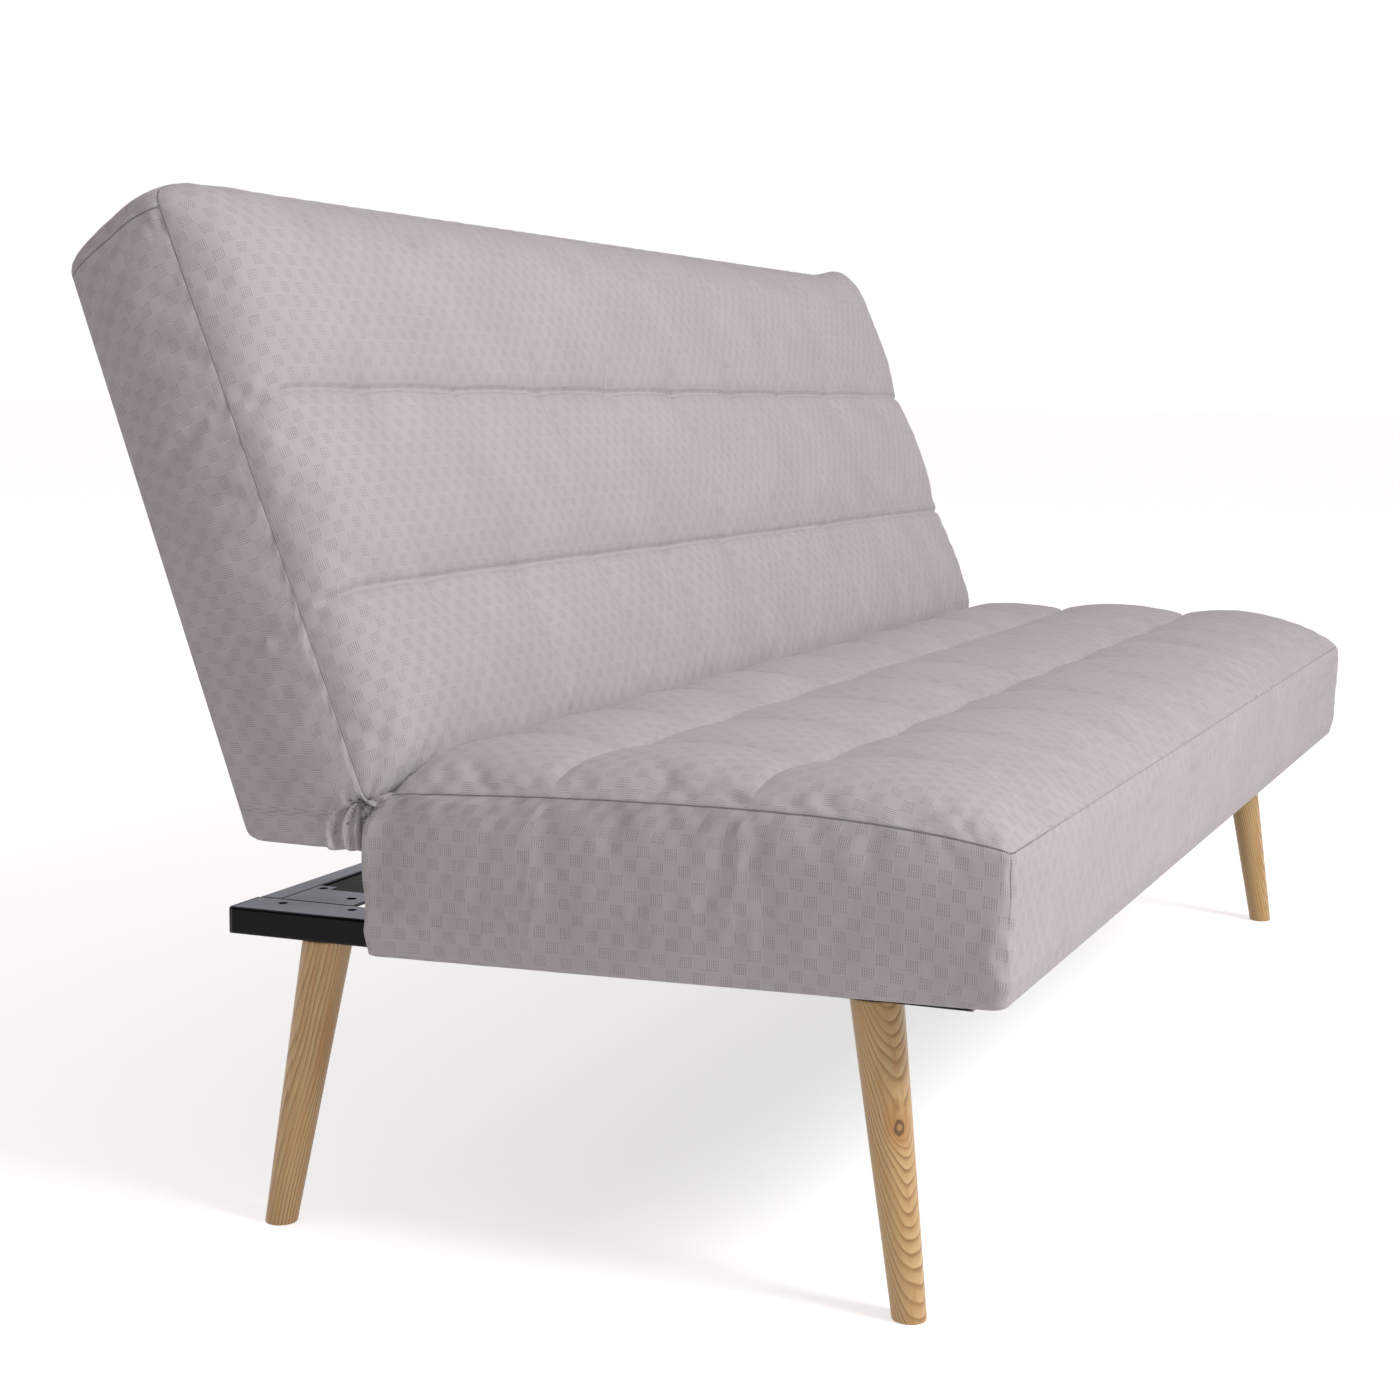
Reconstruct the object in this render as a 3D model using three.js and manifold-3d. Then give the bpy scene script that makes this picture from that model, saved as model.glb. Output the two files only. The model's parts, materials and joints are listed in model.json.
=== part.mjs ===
// A click-clack sofa bed: a long tufted seat and an equally tufted backrest, hinged to each other at both
// ends by ratchet hinges, on a low tubular steel base with four splayed, tapered wooden legs.
// Millimetres, +X to the right as seen from the front, +Y from front to back, +Z up.
// The back is modelled lying flat about the hinge axis and is then turned up to the sitting position.
import * as THREE from "three";
import { mergeVertices } from "three/addons/utils/BufferGeometryUtils.js";
import Module from "manifold-3d";

const wasm = await Module();
wasm.setup();

// Overall sizes
const sofaLength = 1800;
const seatDepth = 562;
const baseHeight = 264;
const sittingAngle = 68.5; // degrees that the back turns up from lying flat

// Clearances and cutting
const fit = 0.3; // gap between pieces that touch
const cutOver = 4; // how far a cutting tool runs past the face it cuts

// Base: rectangular tube at the ends, square tube along the length
const endTubeWidth = 50;
const longTubeDepth = 25;
const baseTubeHeight = 25;
const baseWall = 1.5;
const tubeCornerRadius = 2.5;
const baseEndSetback = 40; // from a cushion's end to the end of the base
const baseFrontSetback = 41; // from the seat's front seam to the front of the base
const baseRearReach = 174; // how far the base stands out behind the seat
const middleRailSetback = 87; // from the seat's rear face to the front of the middle rail
const capFlange = 3;
const capPlugLength = 12;

// Corner gussets, with the holes that show behind the seat
const gussetWidth = 53;
const gussetDepth = 73;
const gussetPlate = 3;
const gussetTabWidth = 14;
const gussetTabDepth = 18;
const gussetHoleRadius = 5;
const gussetHoleInset = 26; // from the long edge beside the end tube
const gussetHoleSetback = 57; // from the long tube
const tabHoleRadius = 4.5;
const tabHoleSetback = 9;
const railHoleRadius = 4.5;
const railHoleInset = 33; // from the outside of the end tube
const railOuterHoleSetback = 36; // from the end of the end tube
const railInnerHoleSetback = 108;

// Legs
const legTopRadius = 22.5;
const legFootRadius = 14.5;
const legEndSetback = 88; // from the end of the end tube to the middle of the leg's top
const legSplayAlong = 40; // how far the foot stands out, front or back
const legSplaySide = 20; // how far the foot stands out to the side
const legSides = 28;
const legBoltRadius = 4;
const legBoltInLeg = 50;
const legBoltInTube = 14;
const nutRadius = 7.5;
const nutHeight = 6;
const nutSides = 6;

// Inner frames of the seat and of the back
const frameTubeHeight = 30;
const frameTubeWidth = 30;
const frameEndWidth = 50;
const frameWall = 1.5;
const seatFrameEndSetback = 38;
const seatFrameFrontSetback = 31;
const seatFrameRearSetback = 19;
const backFrameStart = 45; // from the hinge axis, along the back
const backFrameTopSetback = 34;
const crossTubeWidth = 25;
const dustCover = 1;
const dustCoverMargin = 4; // how far the cover reaches past the frame
const deckThickness = 8;
const deckInset = 4;
const deckVentRadius = 22;
const deckVentColumns = 6;
const foamThickness = 62;
const foamInset = 14; // from the deck's edge
const ventSides = 10;
const roundSides = 16;
const seatBoltRadius = 4;
const seatBoltHeadRadius = 8;
const seatBoltHead = 5;
const seatBoltInFrame = 16;
const seatBoltRearSetback = 51; // from the seat's rear face

// Cushions
const cushionSide = 134; // height of the sewn side, seam to lower edge
const skirtDrop = 13; // how far the lower edge hangs below the top of the base
const skirtThickness = 22;
const skirtFront = 26;
const plateSkin = 3;
const planCornerRadius = 8;
const lowerEdgeInset = 6;
const sideSwell = 1.5;
const tuftEndInset = 164; // from a cushion's end to its first tuft
const tuftCount = 9;
const seatFrontRow = 216;
const seatMiddleRow = 178;
const seatRearSeamInset = 13; // the rear seam lies in front of the seat's rear face
const seatHeelReach = 17; // how far the seat's lower rear edge reaches under the back
const backLowerRow = 186;
const backMiddleRow = 180;
const backUpperRow = 203;
const backThickness = 127; // at the hinge end
const backTopThickness = 110;
const backHeelSetback = 12;
const backTopRoll = 2; // how far the top end swells past its seam
const backTopPull = 21; // how far the rear edge of the top end is pulled in
const backTopBow = 14; // how far the top end stands out between its two corners
const backTopBowRun = 60; // from each corner
const seatFrontFall = 8; // how far the seat's front seam lies below the rest
const seatFrontFallRun = 90;
const seatCrown = 28;
const backCrown = 40;
const crownRun = 70; // from a seam to the full crown
const seatFrontRun = 90;
const hingeRun = 150; // beside the hinge, where seat and back must pass each other
const pillowRise = 14;
const seatTuftDip = 8;
const backTuftDip = 12;

// Hinges
const hingeRadius = 24; // of the rolled lower edge of the back, round the hinge axis
const hingeBelowSeam = 28;
const hingeGap = 4; // between the seat and the rolled edge
const armPlate = 3;
const armWidth = 24;
const hubRadius = 20;
const toothRadius = 22;
const toothRootRadius = 19;
const pivotRadius = 6;
const pivotHeadRadius = 10;
const pivotHead = 3;
const discPlate = 1;
const pawlPinRadius = 2.5;
const pawlPinReach = 40; // from the hinge axis to the pawl's pin
const pawlHubRadius = 6.5;
const pinEarRadius = 10.4;
const pawlLift = 0.5; // how far the resting pawl clears the teeth
const pawlNoseDepth = 6;
const pawlNeck = 6; // half the pawl's depth at its pin
const pawlRelief = 3; // how far the pawl's back stands clear of the teeth behind its nose
const springWire = 0.5; // radius
const springCoilRadius = 3.6;
const springTurns = 2;
const springPitch = 1.25;
const springStepsPerTurn = 10;
const armFootLength = 100;
const armFootHeight = 26;
const armFootSetback = 10; // from the end of the frame
const rivetRadius = 3.5;
const rivetHeadRadius = 6;
const rivetHead = 2.5;
const rivetInset = 20;
const pocketMargin = 5;
const gatherDome = 6;
const gatherGap = 1.2;
const gatherSides = 24;

// Angles of the ratchet, in degrees, as seen from the +X end with 0 pointing to the rear
const pawlPinAngle = -25; // on the back, lying flat
const pawlNoseAngle = -80;
const pawlNoseHalfAngle = 6;
const camHoldAngle = 10; // along the release disc's lobe, past the lifted pawl's nose
const camRampAngle = 60; // over which the lobe falls to the disc's rim
const camRampSteps = 8;
const toothSteps = [
  [75, toothRootRadius],
  [-19.5, toothRootRadius],
  [-19.5, toothRadius],
  [-38, toothRootRadius],
  [-53.5, toothRootRadius],
  [-53.5, toothRadius],
  [-69, toothRootRadius],
  [-75, toothRootRadius],
];

// Shares, chosen by hand
const cellShares = [0, 0.18, 0.5, 0.82];
const deckVentRowShares = [0.3, 0.7];
const seatRingShares = [0, 0.1, 0.28, 0.56, 0.85, 1];
const backRingShares = [0, 0.08, 0.26, 0.6, 0.9, 1];
const pillowPower = 0.7;
const seatCreaseShare = 0.6;
const backCreaseShare = 0.35;
const tabHoleShare = 0.25;
const gatherShoulderShare = 0.33;

// Worked out from the sizes above
const halfLength = sofaLength / 2;
const baseTop = baseHeight + baseTubeHeight;
const baseMiddle = baseHeight + baseTubeHeight / 2;
const seatSeam = baseTop - skirtDrop + cushionSide;
const frameBottom = baseTop + fit + dustCover + fit;
const hingeY = seatDepth + hingeGap + hingeRadius;
const hingeZ = seatSeam - hingeBelowSeam;
const baseLength = sofaLength - 2 * baseEndSetback;
const baseFront = baseFrontSetback;
const baseRear = seatDepth + baseRearReach;
const seatFrameLength = sofaLength - 2 * seatFrameEndSetback;
const tuftPitch = (sofaLength - 2 * tuftEndInset) / (tuftCount - 1);
const backLength = backLowerRow + backMiddleRow + backUpperRow;
const armInner = seatFrameLength / 2 + fit; // seat arm's inner face
const armOuter = armInner + armPlate;
const backArmInner = armOuter + fit * 2;
const backArmOuter = backArmInner + armPlate;
const backFrameLength = 2 * (backArmInner - fit);
const pivotOuter = backArmOuter + fit + pivotHead;
const springOuter = armInner - fit - discPlate - fit; // the spring lies against the pawl's inner face
const pocketInner = springOuter - springTurns * springPitch - springWire * 2 - pivotHead;
const pocketOuter = halfLength - skirtThickness;
const degrees = Math.PI / 180;

// Turns that lay a drawn shape and its extrusion along an axis: the extrusion runs along the named axis.
const unitX = new THREE.Vector3(1, 0, 0);
const unitY = new THREE.Vector3(0, 1, 0);
const unitZ = new THREE.Vector3(0, 0, 1);
const alongX = new THREE.Matrix4().makeBasis(unitY, unitZ, unitX); // drawn in Y and Z
const alongY = new THREE.Matrix4().makeBasis(unitZ, unitX, unitY); // drawn in Z and X

// A geometry as a manifold solid, and back.
function solid(geometry) {
  const bare = geometry.clone();
  bare.deleteAttribute("normal");
  bare.deleteAttribute("uv");
  const merged = mergeVertices(bare);
  return new wasm.Manifold(
    new wasm.Mesh({
      numProp: 3,
      vertProperties: new Float32Array(merged.attributes.position.array),
      triVerts: new Uint32Array(merged.index.array),
    }),
  );
}

function geometryOf(made) {
  const mesh = made.getMesh();
  const geometry = new THREE.BufferGeometry();
  geometry.setAttribute("position", new THREE.BufferAttribute(new Float32Array(mesh.vertProperties), 3));
  geometry.setIndex(new THREE.BufferAttribute(new Uint32Array(mesh.triVerts), 1));
  const flat = geometry.toNonIndexed();
  flat.computeVertexNormals();
  return flat;
}

const join = (first, ...rest) => rest.reduce((whole, piece) => whole.add(piece), first);
const cut = (first, ...tools) => tools.reduce((left, tool) => left.subtract(tool), first);

// A box between two corners.
function box(x0, x1, y0, y1, z0, z1) {
  const geometry = new THREE.BoxGeometry(x1 - x0, y1 - y0, z1 - z0);
  geometry.translate((x0 + x1) / 2, (y0 + y1) / 2, (z0 + z1) / 2);
  return solid(geometry);
}

// A round bar along Z.
function barZ(radius, x, y, z0, z1, sides = roundSides) {
  const geometry = new THREE.CylinderGeometry(radius, radius, z1 - z0, sides);
  geometry.rotateX(Math.PI / 2);
  geometry.translate(x, y, (z0 + z1) / 2);
  return solid(geometry);
}

// A round bar along X.
function barX(radius, x0, x1, y, z, sides = roundSides) {
  const geometry = new THREE.CylinderGeometry(radius, radius, Math.abs(x1 - x0), sides);
  geometry.rotateZ(Math.PI / 2);
  geometry.translate((x0 + x1) / 2, y, z);
  return solid(geometry);
}

// A drawn shape, in Y and Z, as a plate between two places along X.
function plateX(shape, x0, x1) {
  const low = Math.min(x0, x1);
  const geometry = new THREE.ExtrudeGeometry(shape, {
    depth: Math.abs(x1 - x0),
    bevelEnabled: false,
    curveSegments: 6,
  });
  geometry.applyMatrix4(alongX);
  geometry.translate(low, 0, 0);
  return solid(geometry);
}

function roundedRectangle(target, width, height, radius) {
  const w = width / 2;
  const h = height / 2;
  target.moveTo(-w + radius, -h);
  target.lineTo(w - radius, -h);
  target.absarc(w - radius, -h + radius, radius, -Math.PI / 2, 0);
  target.lineTo(w, h - radius);
  target.absarc(w - radius, h - radius, radius, 0, Math.PI / 2);
  target.lineTo(-w + radius, h);
  target.absarc(-w + radius, h - radius, radius, Math.PI / 2, Math.PI);
  target.lineTo(-w, -h + radius);
  target.absarc(-w + radius, -h + radius, radius, Math.PI, Math.PI * 1.5);
  return target;
}

// An open-ended rectangular tube. The section is width by height; turn lays it along X or Y.
function tube(width, height, wall, length, turn) {
  const section = roundedRectangle(new THREE.Shape(), width, height, tubeCornerRadius);
  const boreRadius = tubeCornerRadius - wall;
  const bore = roundedRectangle(new THREE.Path(), width - 2 * wall, height - 2 * wall, boreRadius);
  section.holes.push(bore);
  const geometry = new THREE.ExtrudeGeometry(section, { depth: length, bevelEnabled: false, curveSegments: 1 });
  geometry.applyMatrix4(turn);
  return geometry;
}

function tubeX(x0, x1, y, z, depth, height, wall) {
  return solid(tube(depth, height, wall, x1 - x0, alongX).translate(x0, y, z));
}

function tubeY(y0, y1, x, z, width, height, wall) {
  return solid(tube(height, width, wall, y1 - y0, alongY).translate(x, y0, z));
}

// Materials
const steelBlack = new THREE.MeshStandardMaterial({ color: 0x17171a, roughness: 0.35, metalness: 0.4 });
const steelZinc = new THREE.MeshStandardMaterial({ color: 0xa9abad, roughness: 0.4, metalness: 0.9 });
const plasticBlack = new THREE.MeshStandardMaterial({ color: 0x151517, roughness: 0.5, metalness: 0 });
const legWood = new THREE.MeshStandardMaterial({ color: 0xbf9c6c, roughness: 0.45, metalness: 0 });
const plywood = new THREE.MeshStandardMaterial({ color: 0xd6bd92, roughness: 0.6, metalness: 0 });
const foamYellow = new THREE.MeshStandardMaterial({ color: 0xe8dfb4, roughness: 1, metalness: 0 });
const coverFabric = new THREE.MeshStandardMaterial({ color: 0xb9b4b3, roughness: 0.95, metalness: 0 });
const dustFabric = new THREE.MeshStandardMaterial({ color: 0x202022, roughness: 1, metalness: 0 });

const sofa = new THREE.Group();
sofa.name = "click_clack_sofa_bed";
const fixed = new THREE.Group(); // base and seat
const back = new THREE.Group(); // everything that turns with the back, lying flat about the hinge axis
back.position.set(0, hingeY, hingeZ);
back.rotation.x = sittingAngle * degrees;
sofa.add(fixed, back);

function add(group, name, made, material) {
  const mesh = new THREE.Mesh(geometryOf(made), material);
  mesh.name = name;
  group.add(mesh);
  return mesh;
}

const sides = [
  ["left", -1],
  ["right", 1],
];

// Base

const endTubeX = baseLength / 2 - endTubeWidth / 2; // middle of an end tube
const longTubeEnd = baseLength / 2 - endTubeWidth - fit;
const legTopY = { front: baseFront + legEndSetback, rear: baseRear - legEndSetback };
const seatBoltX = baseLength / 2 - railHoleInset;
const seatBoltY = { front: baseFront + railOuterHoleSetback, rear: seatDepth - seatBoltRearSetback };

function endTube(side) {
  const start = baseFront + capFlange + fit;
  const stop = baseRear - capFlange - fit;
  const rail = tubeY(start, stop, side * endTubeX, baseMiddle, endTubeWidth, baseTubeHeight, baseWall);
  const holeX = side * seatBoltX;
  const upper = [
    [baseFront + railOuterHoleSetback],
    [baseFront + railInnerHoleSetback],
    [seatBoltY.rear],
    [baseRear - railInnerHoleSetback],
    [baseRear - railOuterHoleSetback],
  ].map(([y]) => barZ(railHoleRadius, holeX, y, baseMiddle, baseTop + cutOver));
  const lower = Object.values(seatBoltY).map((y) =>
    barZ(seatBoltRadius + fit, holeX, y, baseHeight - cutOver, baseMiddle),
  );
  const legHoles = Object.values(legTopY).map((y) =>
    barZ(legBoltRadius + fit, side * endTubeX, y, baseHeight - cutOver, baseMiddle),
  );
  return cut(rail, ...upper, ...lower, ...legHoles);
}

// A plastic plug for an open tube end. Direction is +1 at the rear and -1 at the front.
function endCap(side, direction) {
  const face = direction > 0 ? baseRear : baseFront;
  const flange = new THREE.ExtrudeGeometry(
    roundedRectangle(new THREE.Shape(), baseTubeHeight, endTubeWidth, tubeCornerRadius),
    { depth: capFlange, bevelEnabled: false, curveSegments: 1 },
  );
  flange.applyMatrix4(alongY);
  flange.translate(side * endTubeX, direction > 0 ? face - capFlange : face, baseMiddle);
  const halfWidth = endTubeWidth / 2 - baseWall - fit - tubeCornerRadius / 2;
  const halfHeight = baseTubeHeight / 2 - baseWall - fit - tubeCornerRadius / 2;
  const inner = face - direction * (capFlange + capPlugLength);
  const outer = face - (direction * capFlange) / 2;
  const plug = box(
    side * endTubeX - halfWidth,
    side * endTubeX + halfWidth,
    Math.min(inner, outer),
    Math.max(inner, outer),
    baseMiddle - halfHeight,
    baseMiddle + halfHeight,
  );
  return join(solid(flange), plug);
}

// A corner plate let in level with the tubes' tops, with a small tab along the long tube.
function gusset(side, direction) {
  const longTubeInner = direction > 0 ? baseRear - longTubeDepth - fit : baseFront + longTubeDepth + fit;
  const outerX = baseLength / 2 - endTubeWidth - fit;
  const innerX = outerX - gussetWidth;
  const shape = new THREE.Shape();
  shape.moveTo(outerX, 0);
  shape.lineTo(outerX, gussetDepth);
  shape.lineTo(innerX, gussetDepth);
  shape.lineTo(innerX, gussetTabDepth);
  shape.lineTo(innerX - gussetTabWidth, gussetTabDepth);
  shape.lineTo(innerX - gussetTabWidth, 0);
  shape.closePath();
  const hole = new THREE.Path();
  hole.absarc(outerX - gussetHoleInset, gussetHoleSetback, gussetHoleRadius, 0, Math.PI * 2);
  const tabHole = new THREE.Path();
  tabHole.absarc(innerX - gussetTabWidth * tabHoleShare, tabHoleSetback, tabHoleRadius, 0, Math.PI * 2);
  shape.holes.push(hole, tabHole);
  const geometry = new THREE.ExtrudeGeometry(shape, {
    depth: gussetPlate,
    bevelEnabled: false,
    curveSegments: 6,
  });
  geometry.translate(0, 0, baseTop - gussetPlate);
  const mirrored = new THREE.Matrix4().makeScale(side, -direction, 1);
  geometry.applyMatrix4(mirrored);
  geometry.translate(0, longTubeInner, 0);
  if (mirrored.determinant() < 0) {
    turnFaces(geometry);
  }
  return solid(geometry);
}

// Turns each triangle round, which a mirrored geometry needs.
function turnFaces(geometry) {
  const position = geometry.attributes.position;
  for (let i = 0; i < position.count; i += 3) {
    const second = new THREE.Vector3().fromBufferAttribute(position, i + 1);
    const third = new THREE.Vector3().fromBufferAttribute(position, i + 2);
    position.setXYZ(i + 1, third.x, third.y, third.z);
    position.setXYZ(i + 2, second.x, second.y, second.z);
  }
}

// A tapered leg that leans out, cut level where it meets the tube and the floor.
function leg(side, direction) {
  const topX = side * endTubeX;
  const topY = direction > 0 ? legTopY.rear : legTopY.front;
  const legTop = baseHeight - fit;
  const lean = new THREE.Vector3(-side * legSplaySide, -direction * legSplayAlong, baseHeight).normalize();
  const length = Math.hypot(legSplaySide, legSplayAlong, baseHeight);
  const spare = legTopRadius; // extra length at both ends, for the level cuts
  const slope = (legTopRadius - legFootRadius) / length;
  const profile = [
    new THREE.Vector2(0, -spare),
    new THREE.Vector2(legFootRadius - slope * spare, -spare),
    new THREE.Vector2(legTopRadius + slope * spare, length + spare),
    new THREE.Vector2(0, length + spare),
  ];
  const turned = new THREE.LatheGeometry(profile, legSides);
  turned.applyQuaternion(new THREE.Quaternion().setFromUnitVectors(unitY, lean));
  turned.translate(topX + side * legSplaySide, topY + direction * legSplayAlong, 0);
  const reach = legSplayAlong + legTopRadius * 2;
  const between = box(topX - reach, topX + reach, topY - reach, topY + reach, 0, legTop);
  const bore = barZ(legBoltRadius + fit, topX, topY, legTop - legBoltInLeg - fit, legTop + cutOver);
  return cut(solid(turned).intersect(between), bore);
}

// A hanger bolt with its nut tightened down inside the tube.
function legBolt(side, direction) {
  const x = side * endTubeX;
  const y = direction > 0 ? legTopY.rear : legTopY.front;
  const tubeFloor = baseHeight + baseWall + fit;
  const shank = barZ(legBoltRadius, x, y, baseHeight - fit - legBoltInLeg, baseHeight + legBoltInTube);
  return join(shank, barZ(nutRadius, x, y, tubeFloor, tubeFloor + nutHeight, nutSides));
}

// A bolt up through the end tube into the seat's frame.
function seatBolt(side, direction) {
  const x = side * seatBoltX;
  const y = direction > 0 ? seatBoltY.rear : seatBoltY.front;
  const underside = baseHeight - fit;
  const shank = barZ(seatBoltRadius, x, y, underside - seatBoltHead / 2, frameBottom + seatBoltInFrame);
  return join(shank, barZ(seatBoltHeadRadius, x, y, underside - seatBoltHead, underside));
}

for (const [name, side] of sides) {
  add(fixed, `base_end_rail_${name}`, endTube(side), steelBlack);
}
const longRails = {
  base_front_rail: baseFront + longTubeDepth / 2,
  base_middle_rail: seatDepth - middleRailSetback + longTubeDepth / 2,
  base_rear_rail: baseRear - longTubeDepth / 2,
};
for (const [name, y] of Object.entries(longRails)) {
  const rail = tubeX(-longTubeEnd, longTubeEnd, y, baseMiddle, longTubeDepth, baseTubeHeight, baseWall);
  add(fixed, name, rail, steelBlack);
}
for (const [endName, direction] of [
  ["front", -1],
  ["rear", 1],
]) {
  for (const [name, side] of sides) {
    add(fixed, `corner_gusset_${endName}_${name}`, gusset(side, direction), steelBlack);
    add(fixed, `rail_end_cap_${endName}_${name}`, endCap(side, direction), plasticBlack);
    add(fixed, `leg_${endName}_${name}`, leg(side, direction), legWood);
    add(fixed, `leg_bolt_${endName}_${name}`, legBolt(side, direction), steelZinc);
    add(fixed, `seat_bolt_${endName}_${name}`, seatBolt(side, direction), steelZinc);
  }
}

// A vented plywood deck: a plate from one corner to the other, with rows of round holes.
function deck(halfX, y0, y1, z) {
  const shape = new THREE.Shape();
  shape.moveTo(-halfX, y0);
  shape.lineTo(halfX, y0);
  shape.lineTo(halfX, y1);
  shape.lineTo(-halfX, y1);
  shape.closePath();
  for (const share of deckVentRowShares) {
    for (let i = 0; i < deckVentColumns; i += 1) {
      const vent = new THREE.Path();
      const x = (i - (deckVentColumns - 1) / 2) * ((2 * halfX) / deckVentColumns);
      vent.absarc(x, y0 + share * (y1 - y0), deckVentRadius, 0, Math.PI * 2);
      shape.holes.push(vent);
    }
  }
  const geometry = new THREE.ExtrudeGeometry(shape, {
    depth: deckThickness,
    bevelEnabled: false,
    curveSegments: ventSides / 2,
  });
  geometry.translate(0, 0, z);
  return solid(geometry);
}

// An inner frame: two long tubes and a cross tube between two end tubes, a deck and a foam core on top
// and a dust cover below. near, far and bottom are its front, rear and lower faces.
function frame(group, prefix, { length, near, far, bottom, rivetYs, bolts }) {
  const middle = bottom + frameTubeHeight / 2;
  const deckBottom = bottom + frameTubeHeight + fit;
  const foamBottom = deckBottom + deckThickness + fit;
  const endX = length / 2 - frameEndWidth / 2;
  const longEnd = length / 2 - frameEndWidth - fit;
  const longRail = (y) => tubeX(-longEnd, longEnd, y, middle, frameTubeWidth, frameTubeHeight, frameWall);
  const crossNear = near + frameTubeWidth + fit;
  const crossFar = far - frameTubeWidth - fit;
  const crossRail = tubeY(crossNear, crossFar, 0, middle, crossTubeWidth, frameTubeHeight, frameWall);
  add(group, `${prefix}_frame_near_rail`, longRail(near + frameTubeWidth / 2), steelBlack);
  add(group, `${prefix}_frame_far_rail`, longRail(far - frameTubeWidth / 2), steelBlack);
  add(group, `${prefix}_frame_cross_rail`, crossRail, steelBlack);
  for (const [name, side] of sides) {
    const rail = tubeY(near, far, side * endX, middle, frameEndWidth, frameTubeHeight, frameWall);
    const outside = side * (length / 2 + cutOver);
    const rivetHoles = rivetYs.map((y) => barX(rivetRadius + fit, side * endX, outside, y, middle));
    const boltHoles = bolts.map(([x, y]) => barZ(seatBoltRadius + fit, side * x, y, bottom - cutOver, middle));
    add(group, `${prefix}_frame_end_rail_${name}`, cut(rail, ...rivetHoles, ...boltHoles), steelBlack);
  }
  const board = deck(length / 2 - deckInset, near + deckInset, far - deckInset, deckBottom);
  add(group, `${prefix}_deck`, board, plywood);
  const foamX = length / 2 - foamInset;
  const foam = box(-foamX, foamX, near + foamInset, far - foamInset, foamBottom, foamBottom + foamThickness);
  add(group, `${prefix}_foam_core`, foam, foamYellow);
  const coverX = length / 2 + dustCoverMargin;
  const coverNear = near - dustCoverMargin;
  const coverFar = far + dustCoverMargin;
  const cover = box(-coverX, coverX, coverNear, coverFar, bottom - fit - dustCover, bottom - fit);
  const coverHoles = bolts.flatMap(([x, y]) =>
    [-x, x].map((at) => barZ(seatBoltRadius + fit, at, y, bottom - dustCover - cutOver, bottom + cutOver)),
  );
  add(group, `${prefix}_dust_cover`, cut(cover, ...coverHoles), dustFabric);
}

// Where a hinge arm's two rivets go through an end rail. direction leads away from the rail's hinge end.
function rivetPlaces(hingeEnd, direction) {
  const first = armFootSetback + rivetInset;
  const second = armFootSetback + armFootLength - rivetInset;
  return [hingeEnd + direction * first, hingeEnd + direction * second];
}

const seatFrame = {
  length: seatFrameLength,
  near: seatFrameFrontSetback,
  far: seatDepth - seatFrameRearSetback,
  bottom: frameBottom,
  bolts: Object.values(seatBoltY).map((y) => [seatBoltX, y]),
};
seatFrame.rivetYs = rivetPlaces(seatFrame.far, -1);

const backFrame = {
  length: backFrameLength,
  near: backFrameStart,
  far: backLength - backFrameTopSetback,
  bottom: frameBottom - hingeZ,
  bolts: [],
};
backFrame.rivetYs = rivetPlaces(backFrame.near, 1);

frame(fixed, "seat", seatFrame);
frame(back, "back", backFrame);

// Cushions

// Lines across a cushion's top: each cell between two seams gets the shares above.
function cellLines(seams) {
  const lines = [];
  for (let i = 0; i + 1 < seams.length; i += 1) {
    for (const share of cellShares) {
      lines.push(seams[i] + share * (seams[i + 1] - seams[i]));
    }
  }
  lines.push(seams[seams.length - 1]);
  return lines;
}

function tuftLines() {
  const first = (-(tuftCount - 1) / 2) * tuftPitch;
  const tufts = Array.from({ length: tuftCount }, (_, i) => first + i * tuftPitch);
  return [-halfLength, ...tufts, halfLength];
}

// 0 at both ends of a cell and 1 in its middle.
function bulge(seams, at) {
  const i = seams.findIndex((seam, k) => k + 1 < seams.length && at <= seams[k + 1]);
  const share = (at - seams[i]) / (seams[i + 1] - seams[i]);
  return Math.max(Math.sin(Math.PI * share), 0) ** pillowPower;
}

// 0 on an edge seam, rising as a quarter circle to 1 where the crown is full.
function edgeRise(inside, run) {
  return Math.sqrt(1 - Math.max(1 - inside / run, 0) ** 2);
}

// The height of a tufted top over its edge seam: a low crown, a pillow in each cell, a dip at each tuft.
function tuftedRise(x, y, columns, rows, { crown, dip, creaseShare, nearRise, farRise }) {
  const across = bulge(columns, x);
  const along = bulge(rows, y);
  const ends = edgeRise(halfLength - Math.abs(x), crownRun);
  const near = nearRise(y - rows[0]);
  const far = farRise(rows[rows.length - 1] - y);
  const pillow = pillowRise * along * (1 - creaseShare + creaseShare * across);
  return ends * near * far * (crown + pillow - dip * (1 - across) * (1 - along));
}

// 0 at an edge, rising along a parabola to 1 at the end of the run.
function easeIn(inside, run) {
  return 1 - Math.max(1 - inside / run, 0) ** 2;
}

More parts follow.
